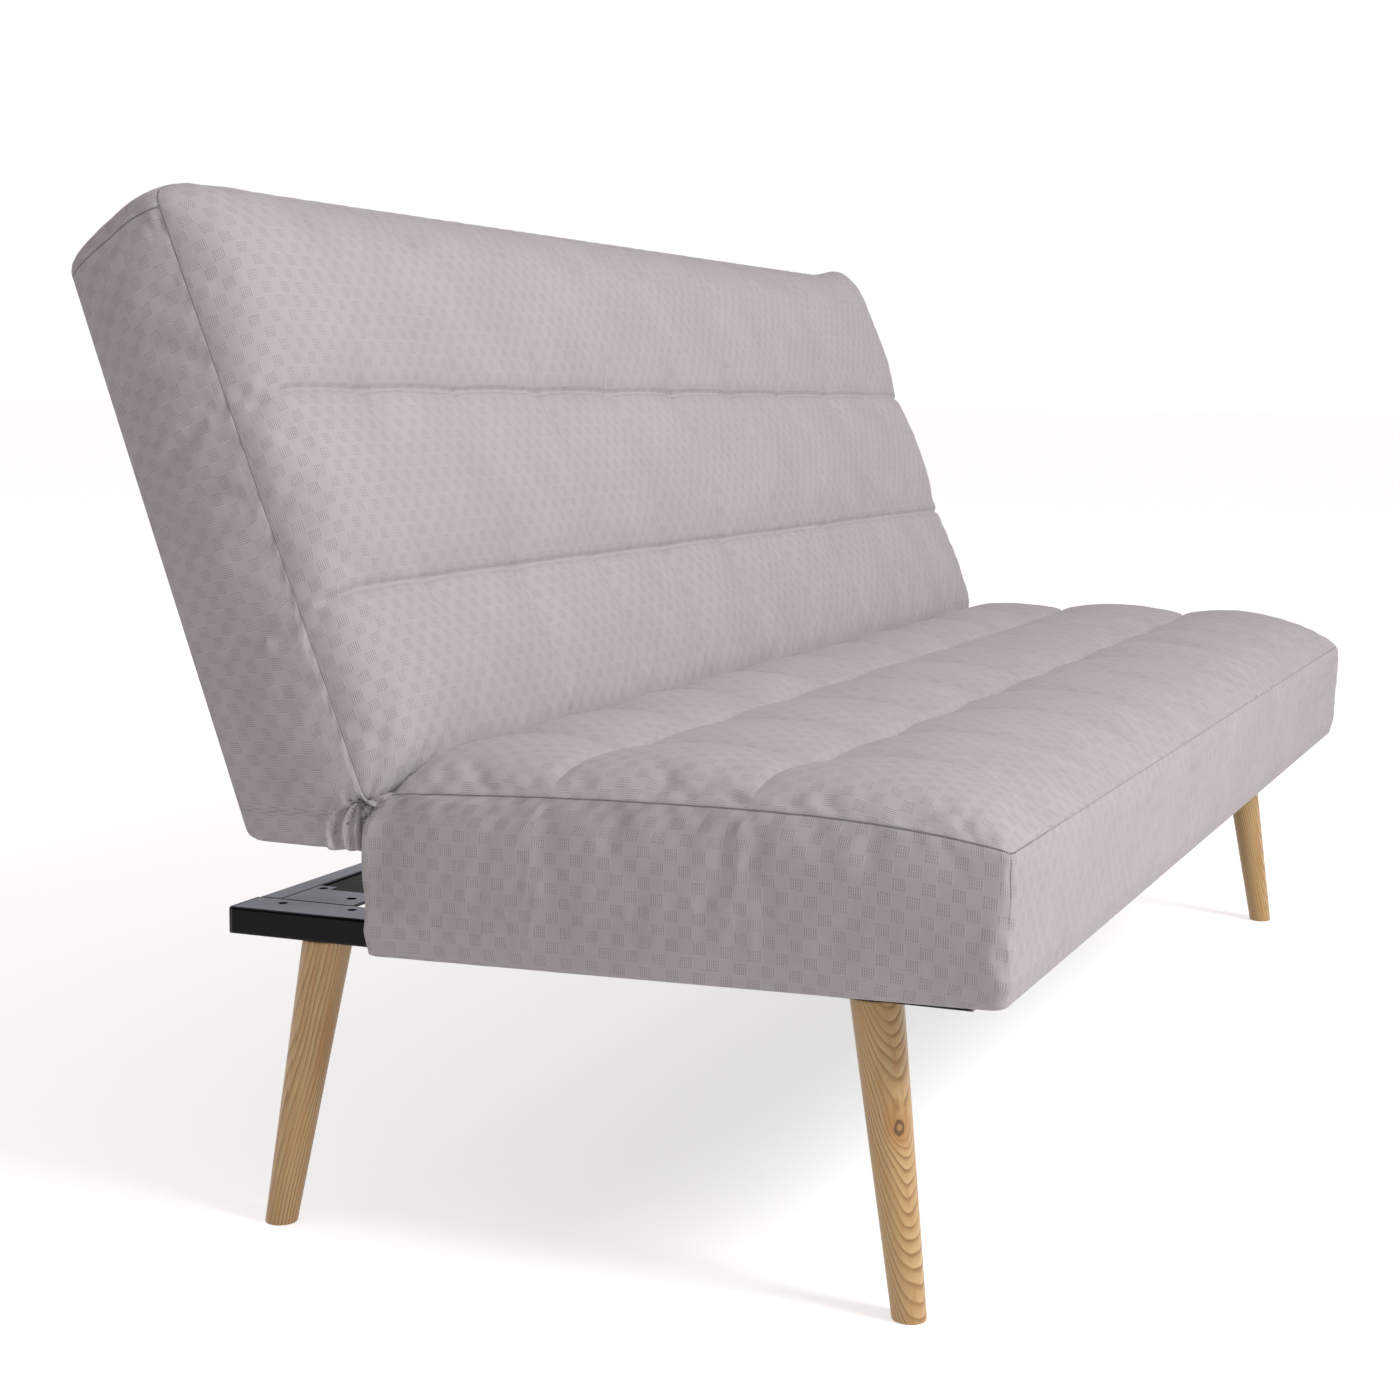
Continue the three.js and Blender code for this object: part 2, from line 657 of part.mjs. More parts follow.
// A closed cushion: a tufted top over rings that run down its sewn sides to a flat underside.
// Each ring says what share of the side it lies at, how far its ends are inset and where its near and far
// sides lie. sideAt is the height of the sewn side at a place between near and far, and bow is how far
// the far side stands out between its corners.
function cushion(columns, rows, seam, topAt, sideAt, rings, bow = 0) {
  const xs = cellLines(columns);
  const ys = cellLines(rows);
  const near = rows[0];
  const far = rows[rows.length - 1];
  const points = [];
  const index = [];
  const place = (x, y, ring) => {
    const halfX = halfLength - ring.inset;
    const halfY = (ring.far - ring.near) / 2;
    const middleY = (ring.near + ring.far) / 2;
    const px = (x / halfLength) * halfX;
    const share = (y - near) / (far - near);
    const py = (2 * share - 1) * halfY;
    const out = bow * share * easeIn(halfLength - Math.abs(x), backTopBowRun);
    const overX = Math.abs(px) - halfX + planCornerRadius;
    const overY = Math.abs(py) - halfY + planCornerRadius;
    const reach = Math.hypot(overX, overY);
    if (overX > 0 && overY > 0 && reach > planCornerRadius) {
      const back = 1 - planCornerRadius / reach;
      return [px - Math.sign(px) * overX * back, middleY + py + out - Math.sign(py) * overY * back];
    }
    return [px, middleY + py + out];
  };
  const at = (i, j) => j * xs.length + i;
  const lastX = xs.length - 1;
  const lastY = ys.length - 1;
  for (const y of ys) {
    for (const x of xs) {
      points.push(...place(x, y, rings[0]), seam + topAt(x, y));
    }
  }
  for (let j = 0; j < lastY; j += 1) {
    for (let i = 0; i < lastX; i += 1) {
      index.push(at(i, j), at(i + 1, j), at(i + 1, j + 1), at(i, j), at(i + 1, j + 1), at(i, j + 1));
    }
  }
  const border = [
    ...xs.slice(0, lastX).map((_, i) => [i, 0]),
    ...ys.slice(0, lastY).map((_, j) => [lastX, j]),
    ...xs.slice(0, lastX).map((_, i) => [lastX - i, lastY]),
    ...ys.slice(0, lastY).map((_, j) => [0, lastY - j]),
  ];
  let upper = border.map(([i, j]) => at(i, j));
  for (const ring of rings.slice(1)) {
    const lower = border.map(([i, j]) => {
      const [x, y] = [xs[i], ys[j]];
      const rim = topAt(x, y) * (1 - ring.share);
      points.push(...place(x, y, ring), seam + rim - ring.share * sideAt(y));
      return points.length / 3 - 1;
    });
    lower.forEach((_, k) => {
      const next = (k + 1) % lower.length;
      index.push(upper[k], lower[k], lower[next], upper[k], lower[next], upper[next]);
    });
    upper = lower;
  }
  const bottom = rings[rings.length - 1];
  points.push(0, (bottom.near + bottom.far) / 2, seam - sideAt((near + far) / 2));
  const centre = points.length / 3 - 1;
  upper.forEach((_, k) => index.push(centre, upper[(k + 1) % upper.length], upper[k]));
  const geometry = new THREE.BufferGeometry();
  geometry.setAttribute("position", new THREE.BufferAttribute(new Float32Array(points), 3));
  geometry.setIndex(index);
  return solid(geometry);
}

// The room inside a cushion for its frame, deck, foam core and dust cover, open below.
function frameRoom({ length, near, far, bottom }, below) {
  const deckRoof = bottom + frameTubeHeight + fit + deckThickness + fit;
  const foamX = length / 2 - foamInset + fit;
  const foamRoof = deckRoof + foamThickness + fit;
  return [
    box(-pocketOuter, pocketOuter, near - pocketMargin, far + pocketMargin, below, deckRoof),
    box(-foamX, foamX, near + foamInset - fit, far - foamInset + fit, below, foamRoof),
  ];
}

// A room at each end for the hinge's arms, from the pivot's inner head to the cushion's end wall.
function armRoom(y0, y1, z0, z1) {
  return sides.map(([, side]) => {
    const ends = [side * pocketInner, side * pocketOuter];
    return box(Math.min(...ends), Math.max(...ends), y0, y1, z0, z1);
  });
}

function seatCushion() {
  const columns = tuftLines();
  const rearSeam = seatDepth - seatRearSeamInset;
  const rows = [0, seatFrontRow, seatFrontRow + seatMiddleRow, rearSeam];
  const heel = seatDepth + seatHeelReach;
  const insets = [0, -sideSwell, -sideSwell, 0, sideSwell, lowerEdgeInset];
  const fars = [rearSeam, seatDepth, seatDepth, heel - sideSwell, heel, heel - lowerEdgeInset / 2];
  const rings = seatRingShares.map((share, i) => ({ share, inset: insets[i], near: insets[i], far: fars[i] }));
  const form = {
    crown: seatCrown,
    dip: seatTuftDip,
    creaseShare: seatCreaseShare,
    nearRise: (inside) => edgeRise(inside, seatFrontRun),
    farRise: (inside) => easeIn(inside, hingeRun),
  };
  const fallAt = (y) => seatFrontFall * (1 - easeIn(y, seatFrontFallRun));
  const topAt = (x, y) => tuftedRise(x, y, columns, rows, form) - fallAt(y);
  const whole = cushion(columns, rows, seatSeam, topAt, () => cushionSide, rings);
  const slotNear = seatFrame.far - armFootLength - armFootSetback - pocketMargin;
  return cut(
    whole,
    ...frameRoom(seatFrame, baseHeight),
    box(-pocketOuter, pocketOuter, skirtFront, heel + cutOver, baseHeight, frameBottom),
    ...armRoom(slotNear, heel + cutOver, baseHeight, hingeZ + armWidth / 2 + fit),
  );
}

// The back, lying flat: its lower end is rolled round the hinge axis, so that it turns past the seat.
function backCushion() {
  const columns = tuftLines();
  const rows = [0, backLowerRow, backLowerRow + backMiddleRow, backLength];
  const rollEnd = -(90 + sittingAngle) * degrees; // where the roll meets the heel, level when sitting
  const insets = [0, -sideSwell, -sideSwell, 0, sideSwell, lowerEdgeInset];
  const rings = backRingShares.map((share, i) => {
    const z = hingeRadius - share * backThickness;
    const onRoll = z > hingeRadius * Math.sin(rollEnd);
    const roll = -Math.sqrt(Math.max(hingeRadius ** 2 - z ** 2, 0));
    const heel = (hingeRadius - z * Math.sin(rollEnd)) / Math.cos(rollEnd);
    const swell = backTopRoll * Math.sin(Math.PI * Math.min(share * 2, 1));
    return {
      share,
      inset: insets[i],
      near: (onRoll ? roll : heel) + (share === 1 ? backHeelSetback : 0),
      far: backLength + swell - backTopPull * share ** 2,
    };
  });
  const form = {
    crown: backCrown,
    dip: backTuftDip,
    creaseShare: backCreaseShare,
    nearRise: (inside) => easeIn(inside, hingeRun),
    farRise: (inside) => edgeRise(inside, crownRun),
  };
  const topAt = (x, y) => tuftedRise(x, y, columns, rows, form);
  const sideAt = (y) => backThickness + (y / backLength) * (backTopThickness - backThickness);
  const whole = cushion(columns, rows, hingeRadius, topAt, sideAt, rings, backTopBow);
  const below = hingeRadius - backThickness - cutOver;
  const nearEnd = -hingeRadius - cutOver;
  const farEnd = backFrame.far + pocketMargin;
  const slotFar = backFrame.near + armFootSetback + armFootLength + pocketMargin;
  const gatherRoom = sides.map(([, side]) =>
    barX(hingeRadius + gatherGap, side * pocketInner, side * (halfLength + cutOver), 0, 0, gatherSides),
  );
  return cut(
    whole,
    ...frameRoom(backFrame, below),
    box(-pocketOuter, pocketOuter, nearEnd, farEnd, below, backFrame.bottom),
    ...armRoom(nearEnd, slotFar, below, hingeRadius - plateSkin),
    ...gatherRoom,
  );
}

add(fixed, "seat_cushion", seatCushion(), coverFabric);
add(back, "back_cushion", backCushion(), coverFabric);

// Hinges: a toothed arm on the seat, an arm with a sprung pawl on the back, and a release disc between.

const polar = (radius, angle) => [radius * Math.cos(angle * degrees), radius * Math.sin(angle * degrees)];

// The foot of an arm with its two rivets, on the outside of a frame's end rail.
function armFoot(inner, outer, y0, y1, z, rivetYs, side) {
  const halfHeight = armFootHeight / 2;
  const foot = box(Math.min(inner, outer), Math.max(inner, outer), y0, y1, z - halfHeight, z + halfHeight);
  const rivets = rivetYs.flatMap((y) => [
    barX(rivetRadius, inner - side * (frameWall + fit + rivetHead), outer, y, z),
    barX(rivetHeadRadius, outer - side * fit, outer + side * rivetHead, y, z),
  ]);
  return join(foot, ...rivets);
}

// A bar of plate from one place to another, in Y and Z.
function armBar(from, to, width, x0, x1) {
  const along = new THREE.Vector2(to[0] - from[0], to[1] - from[1]).normalize();
  const aside = [(-along.y * width) / 2, (along.x * width) / 2];
  const shape = new THREE.Shape();
  shape.moveTo(from[0] + aside[0], from[1] + aside[1]);
  shape.lineTo(from[0] - aside[0], from[1] - aside[1]);
  shape.lineTo(to[0] - aside[0], to[1] - aside[1]);
  shape.lineTo(to[0] + aside[0], to[1] + aside[1]);
  shape.closePath();
  return plateX(shape, x0, x1);
}

// The seat's arm. Its hub carries two ratchet teeth: one holds the sitting position, one the half-way one.
function seatArm(side) {
  const inner = side * armInner;
  const outer = side * armOuter;
  const shape = new THREE.Shape();
  toothSteps.forEach(([angle, radius], i) => {
    const [y, z] = polar(radius, angle);
    if (i === 0) {
      shape.moveTo(hingeY + y, hingeZ + z);
    } else {
      shape.lineTo(hingeY + y, hingeZ + z);
    }
  });
  const [first] = toothSteps;
  const last = toothSteps[toothSteps.length - 1];
  shape.absarc(hingeY, hingeZ, toothRootRadius, last[0] * degrees, first[0] * degrees, true);
  shape.closePath();
  const footFar = seatFrame.far - armFootSetback;
  const footZ = frameBottom + frameTubeHeight / 2;
  const foot = armFoot(inner, outer, footFar - armFootLength, footFar, footZ, seatFrame.rivetYs, side);
  const bar = armBar([footFar - armWidth, footZ], [hingeY, hingeZ], armWidth, inner, outer);
  const bore = barX(pivotRadius + fit, inner - side * cutOver, outer + side * cutOver, hingeY, hingeZ);
  return cut(join(plateX(shape, inner, outer), bar, foot), bore);
}

// The back's arm, lying flat, with the pawl's pin standing inwards from it.
function backArm(side) {
  const inner = side * backArmInner;
  const outer = side * backArmOuter;
  const footNear = backFrame.near + armFootSetback;
  const footZ = backFrame.bottom + frameTubeHeight / 2;
  const foot = armFoot(inner, outer, footNear, footNear + armFootLength, footZ, backFrame.rivetYs, side);
  const hub = barX(hubRadius, inner, outer, 0, 0);
  const bar = armBar([0, 0], [footNear + armWidth, footZ], armWidth, inner, outer);
  const [pinY, pinZ] = polar(pawlPinReach, pawlPinAngle);
  const pinEar = barX(pinEarRadius, inner, outer, pinY, pinZ);
  const pinEnd = side * (springOuter - springTurns * springPitch - springWire * 2);
  const pin = barX(pawlPinRadius, pinEnd, inner + (side * armPlate) / 2, pinY, pinZ);
  const bore = barX(pivotRadius + fit, inner - side * cutOver, outer + side * cutOver, 0, 0);
  return cut(join(foot, hub, bar, pinEar, pin), bore);
}

// The pivot: a headed rivet through both arms.
function pivot(side) {
  const innerFace = armInner - discPlate - fit * 2;
  const outerFace = backArmOuter + fit;
  return join(
    barX(pivotRadius, side * (innerFace - pivotHead / 2), side * (outerFace + pivotHead / 2), hingeY, hingeZ),
    barX(pivotHeadRadius, side * (innerFace - pivotHead), side * innerFace, hingeY, hingeZ),
    barX(pivotHeadRadius, side * outerFace, side * pivotOuter, hingeY, hingeZ),
  );
}

// The release disc. Its lobe lies under the lifted pawl's nose, and falls away along a ramp to the rim, so
// that the pawl drops as the disc turns.
function releaseDisc(side) {
  const rim = toothRootRadius;
  const lobe = toothRadius + pawlLift - fit;
  const rampEnd = pawlNoseAngle + pawlNoseHalfAngle;
  const lobeEnd = rampEnd + camHoldAngle;
  const rampStart = rampEnd - camRampAngle;
  const shape = new THREE.Shape();
  for (let i = 0; i <= camRampSteps; i += 1) {
    const share = i / camRampSteps;
    const [y, z] = polar(rim + share * (lobe - rim), rampStart + share * camRampAngle);
    if (i === 0) {
      shape.moveTo(y, z);
    } else {
      shape.lineTo(y, z);
    }
  }
  shape.absarc(0, 0, lobe, rampEnd * degrees, lobeEnd * degrees, false);
  shape.absarc(0, 0, rim, lobeEnd * degrees, rampStart * degrees + Math.PI * 2, false);
  shape.closePath();
  const outer = side * (armInner - fit);
  const inner = side * (armInner - fit - discPlate);
  const bore = barX(pivotRadius + fit, inner - side * cutOver, outer + side * cutOver, 0, 0);
  return cut(plateX(shape, inner, outer), bore);
}

// The pawl, lifted just clear of the teeth. It is as wide as the arm and the disc together, so that its
// nose rides on the disc and drops between the arm's teeth.
function pawl(side) {
  const [pinY, pinZ] = polar(pawlPinReach, pawlPinAngle);
  const lifted = toothRadius + pawlLift;
  const shape = new THREE.Shape();
  shape.moveTo(pinY, pinZ + pawlNeck);
  shape.lineTo(...polar(lifted + pawlRelief, pawlNoseAngle + pawlNoseHalfAngle));
  shape.lineTo(...polar(lifted, pawlNoseAngle + pawlNoseHalfAngle));
  shape.lineTo(...polar(lifted, pawlNoseAngle - pawlNoseHalfAngle));
  shape.lineTo(...polar(lifted + pawlNoseDepth, pawlNoseAngle - pawlNoseHalfAngle));
  shape.lineTo(pinY, pinZ - pawlNeck);
  shape.closePath();
  const inner = side * (armInner - fit - discPlate);
  const outer = side * armOuter;
  const body = join(plateX(shape, inner, outer), barX(pawlHubRadius, inner, outer, pinY, pinZ));
  const bore = barX(pawlPinRadius + fit, inner - side * cutOver, outer + side * cutOver, pinY, pinZ);
  return cut(body, bore);
}

// The pawl's torsion spring: a short helix round the pin.
function pawlSpring(side) {
  const [pinY, pinZ] = polar(pawlPinReach, pawlPinAngle);
  const steps = springTurns * springStepsPerTurn;
  const points = Array.from({ length: steps + 1 }, (_, i) => {
    const turns = i / springStepsPerTurn;
    return new THREE.Vector3(
      side * (springOuter - springWire - turns * springPitch),
      pinY + springCoilRadius * Math.cos(turns * Math.PI * 2),
      pinZ + springCoilRadius * Math.sin(turns * Math.PI * 2),
    );
  });
  const section = new THREE.Shape();
  section.absarc(0, 0, springWire, 0, Math.PI * 2);
  const geometry = new THREE.ExtrudeGeometry(section, {
    steps,
    extrudePath: new THREE.CatmullRomCurve3(points),
    curveSegments: 3,
  });
  return solid(geometry);
}

// The gathered cover over a hinge: a domed boss of cloth at each end of the axis.
function hingeGather(side) {
  const start = pivotOuter + fit;
  const stop = halfLength - fit;
  const dome = Math.min(gatherDome, (stop - start) / 2);
  const radius = hingeRadius - fit;
  const shoulder = dome * gatherShoulderShare;
  const profile = [
    new THREE.Vector2(0, start),
    new THREE.Vector2(radius, start),
    new THREE.Vector2(radius, stop - dome),
    new THREE.Vector2(radius - shoulder, stop - shoulder),
    new THREE.Vector2(radius - dome, stop),
    new THREE.Vector2(0, stop),
  ];
  const geometry = new THREE.LatheGeometry(profile, legSides);
  geometry.rotateZ((-side * Math.PI) / 2);
  geometry.translate(0, hingeY, hingeZ);
  return solid(geometry);
}

for (const [name, side] of sides) {
  add(fixed, `hinge_seat_arm_${name}`, seatArm(side), steelZinc);
  add(fixed, `hinge_pivot_${name}`, pivot(side), steelZinc);
  add(fixed, `hinge_gather_${name}`, hingeGather(side), coverFabric);
  add(back, `hinge_back_arm_${name}`, backArm(side), steelZinc);
  add(back, `hinge_release_disc_${name}`, releaseDisc(side), steelZinc);
  add(back, `hinge_pawl_${name}`, pawl(side), steelZinc);
  add(back, `hinge_pawl_spring_${name}`, pawlSpring(side), steelZinc);
}

// The origin is on the floor, in the middle of the sofa's footprint.
sofa.updateMatrixWorld(true);
const footprint = new THREE.Box3().setFromObject(sofa, true).getCenter(new THREE.Vector3());
fixed.position.y -= footprint.y;
back.position.y -= footprint.y;

export default sofa;
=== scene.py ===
"""Click-clack sofa bed: tufted seat and back on ratchet hinges, steel base and four tapered wooden legs.

Lengths in the classes are in millimetres. A cushion is worked out on a sheet of two parameters, x along
the sofa and b across the panel from its near seam, and is then put in its place in metres.
"""

import json
import logging
from dataclasses import dataclass, field
from enum import Enum
from typing import Any, Callable, Sequence

import bpy
import numpy as np
from mathutils import Matrix, Vector


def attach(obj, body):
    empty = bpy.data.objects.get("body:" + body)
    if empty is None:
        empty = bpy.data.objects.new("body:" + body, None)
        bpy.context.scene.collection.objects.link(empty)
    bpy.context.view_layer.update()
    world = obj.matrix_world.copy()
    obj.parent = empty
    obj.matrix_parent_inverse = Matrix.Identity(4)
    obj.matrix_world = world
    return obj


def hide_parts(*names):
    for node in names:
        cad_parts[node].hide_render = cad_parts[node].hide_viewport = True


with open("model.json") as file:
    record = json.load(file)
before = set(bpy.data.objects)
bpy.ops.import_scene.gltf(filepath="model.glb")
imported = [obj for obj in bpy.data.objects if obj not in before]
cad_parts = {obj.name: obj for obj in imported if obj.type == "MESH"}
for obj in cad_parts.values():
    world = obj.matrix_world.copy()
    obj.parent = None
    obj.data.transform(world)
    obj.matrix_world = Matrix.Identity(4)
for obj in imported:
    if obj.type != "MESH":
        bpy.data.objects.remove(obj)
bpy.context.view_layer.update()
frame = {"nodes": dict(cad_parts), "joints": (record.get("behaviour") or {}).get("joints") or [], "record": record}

MM = 0.001
LOG = logging.getLogger("sofa_bed")


# Numbers and small functions of arrays


def linear(hex_colour: str) -> tuple[float, float, float, float]:
    """An sRGB hex colour as linear red, green and blue with full alpha."""
    srgb = np.array([int(hex_colour[i : i + 2], 16) for i in (0, 2, 4)]) / 255
    low = srgb / 12.92
    high = ((srgb + 0.055) / 1.055) ** 2.4
    return (*np.where(srgb <= 0.04045, low, high).tolist(), 1.0)


def smooth(low: float, high: float, at: np.ndarray) -> np.ndarray:
    """0 below low and 1 above high, with level ends between: three times the share squared less twice its cube."""
    share = np.clip((at - low) / (high - low), 0, 1)
    return share * share * (3 - 2 * share)


def edge_rise(inside: np.ndarray, run: float) -> np.ndarray:
    """0 on an edge seam, rising as a quarter circle to 1 at the end of the run."""
    return np.sqrt(1 - np.maximum(1 - np.maximum(inside, 0) / run, 0) ** 2)


def ease_in(inside: np.ndarray, run: float) -> np.ndarray:
    """0 at an edge, rising along a parabola to 1 at the end of the run."""
    return 1 - np.maximum(1 - np.maximum(inside, 0) / run, 0) ** 2


def bulge(at: np.ndarray, seams: Sequence[float], power: float) -> np.ndarray:
    """The sine of half a turn over each cell between two seams, to a power: 0 on the seams, 1 between them."""
    lines = np.asarray(seams, float)
    cell = np.clip(np.searchsorted(lines, at, side="right") - 1, 0, len(lines) - 2)
    share = (at - lines[cell]) / (lines[cell + 1] - lines[cell])
    return np.sin(np.pi * np.clip(share, 0, 1)) ** power


def cloud(u: np.ndarray, v: np.ndarray, cell: tuple[float, float], seed: int) -> np.ndarray:
    """Random values from -1 to 1 on the corners of a lattice of cells, smoothly joined between the corners."""
    size = 97
    values = np.random.default_rng(seed).uniform(-1, 1, (size, size))
    i, j = u / cell[0], v / cell[1]
    i0, j0 = np.floor(i).astype(int), np.floor(j).astype(int)
    a, b = smooth(0, 1, i - i0), smooth(0, 1, j - j0)
    here, beside = i0 % size, (i0 + 1) % size
    low, high = j0 % size, (j0 + 1) % size
    near = values[here, low] * (1 - a) + values[beside, low] * a
    far = values[here, high] * (1 - a) + values[beside, high] * a
    return near * (1 - b) + far * b


# Meshes


def corners(grid: np.ndarray) -> np.ndarray:
    """The four corners of each cell of a grid, turning from its first axis to its second."""
    return np.stack([grid[:-1, :-1], grid[1:, :-1], grid[1:, 1:], grid[:-1, 1:]], axis=2)


def border(grid: np.ndarray) -> np.ndarray:
    """The values round a grid's edge, with the first one repeated at the end."""
    return np.concatenate([grid[:-1, 0], grid[-1, :-1], grid[:0:-1, -1], grid[0, :0:-1], grid[:1, 0]])


class Shell:
    """A closed surface put together from grids of points that share their borders."""

    def __init__(self) -> None:
        """Starts with no points and no faces."""
        self.points: list[np.ndarray] = []
        self.count = 0
        self.quads: list[np.ndarray] = []
        self.cloth: list[np.ndarray] = []
        self.seams: list[np.ndarray] = []

    def add(self, points: np.ndarray) -> np.ndarray:
        """Adds points.

        Args:
            points: any number of rows and columns of points in millimetres.
        Returns:
            Their numbers, in the same rows and columns.
        """
        flat = points.reshape(-1, 3)
        numbers = np.arange(self.count, self.count + len(flat)).reshape(points.shape[:-1])
        self.points.append(flat)
        self.count += len(flat)
        return numbers

    def skin(self, numbers: np.ndarray, cloth: np.ndarray, seam: np.ndarray) -> None:
        """Covers a grid of points with faces.

        Args:
            numbers: the grid of point numbers. A face turns from the first axis to the second.
            cloth: the place on the cloth of each grid point, in millimetres.
            seam: how far each grid point lies from the nearest seam, and how far along it.
        """
        self.quads.append(corners(numbers).reshape(-1, 4))
        self.cloth.append(corners(cloth).reshape(-1, 2))
        self.seams.append(corners(seam).reshape(-1, 2))

    def fan(self, ring: np.ndarray, centre: np.ndarray) -> None:
        """Closes a ring of points with triangles round one centre point."""
        middle = self.add(centre.reshape(1, 3))[0]
        after = np.roll(ring, -1)
        self.quads.append(np.stack([np.full(len(ring), middle), ring, after, after], axis=1))
        self.cloth.append(np.zeros((len(ring) * 4, 2)))
        self.seams.append(np.full((len(ring) * 4, 2), 50.0))

    def make(self, name: str) -> bpy.types.Object:
        """Makes the object, with its cloth and seam places as two UV maps in metres.

        Args:
            name: the piece's name.
        Returns:
            The linked object, at the origin.
        """
        points = np.concatenate(self.points) * MM
        quads = np.concatenate(self.quads)
        cloth = np.concatenate(self.cloth).reshape(-1, 4, 2) * MM
        seams = np.concatenate(self.seams).reshape(-1, 4, 2) * MM
        short = quads[:, 2] == quads[:, 3]
        sizes = np.where(short, 3, 4)
        keep = np.ones(quads.shape, bool)
        keep[short, 3] = False
        mesh = bpy.data.meshes.new(name)
        mesh.vertices.add(len(points))
        mesh.vertices.foreach_set("co", points.astype(np.float32).ravel())
        mesh.loops.add(int(sizes.sum()))
        mesh.loops.foreach_set("vertex_index", quads[keep].astype(np.int32))
        mesh.polygons.add(len(quads))
        starts = np.concatenate([[0], np.cumsum(sizes)[:-1]])
        mesh.polygons.foreach_set("loop_start", starts.astype(np.int32))
        mesh.polygons.foreach_set("use_smooth", np.ones(len(quads), bool))
        for title, places in (("Cloth", cloth), ("Seams", seams)):
            layer = mesh.uv_layers.new(name=title)
            layer.data.foreach_set("uv", places[keep].astype(np.float32).ravel())
        mesh.update(calc_edges=True)
        mesh.validate()
        piece = bpy.data.objects.new(name, mesh)
        bpy.context.scene.collection.objects.link(piece)
        return piece


# Finishes


class Tree:
    """The nodes of one material, or of the world."""

    def __init__(self, owner: bpy.types.Material | bpy.types.World) -> None:
        """Takes the owner's nodes and empties them."""
        self.owner = owner
        owner.use_nodes = True
        self.nodes = owner.node_tree.nodes
        self.links = owner.node_tree.links
        self.nodes.clear()

    def add(self, kind: str, *values: Any, **settings: Any) -> bpy.types.Node:
        """Adds a node with its settings and links.

        Args:
            kind: the node's type, without its ShaderNode prefix, and after a space its operation if it has one.
            values: what goes into its open sockets in their order, or a dict of sockets by name or number. Each
                is a plain value, a socket, or a node whose first open output is taken.
            settings: the node's other settings.
        Returns:
            The node.
        """
        title, _, operation = kind.partition(" ")
        node = self.nodes.new("ShaderNode" + title)
        if operation:
            node.operation = operation
        for name, value in settings.items():
            setattr(node, name, value)
        in_order = [socket for socket in node.inputs if socket.enabled]
        targets: list[tuple[bpy.types.NodeSocket, Any]] = []
        for number, value in enumerate(values):
            if isinstance(value, dict):
                targets += [(node.inputs[name], given) for name, given in value.items()]
            else:
                targets.append((in_order[number], value))
        for socket, value in targets:
            if isinstance(value, bpy.types.Node):
                value = next(output for output in value.outputs if output.enabled)
            if isinstance(value, bpy.types.NodeSocket):
                self.links.new(value, socket)
            else:
                socket.default_value = value
        return node

    def finish(self, shader: bpy.types.Node) -> Any:
        """Gives the owner its surface and returns it."""
        output = "OutputWorld" if isinstance(self.owner, bpy.types.World) else "OutputMaterial"
        self.add(output, {"Surface": shader})
        return self.owner


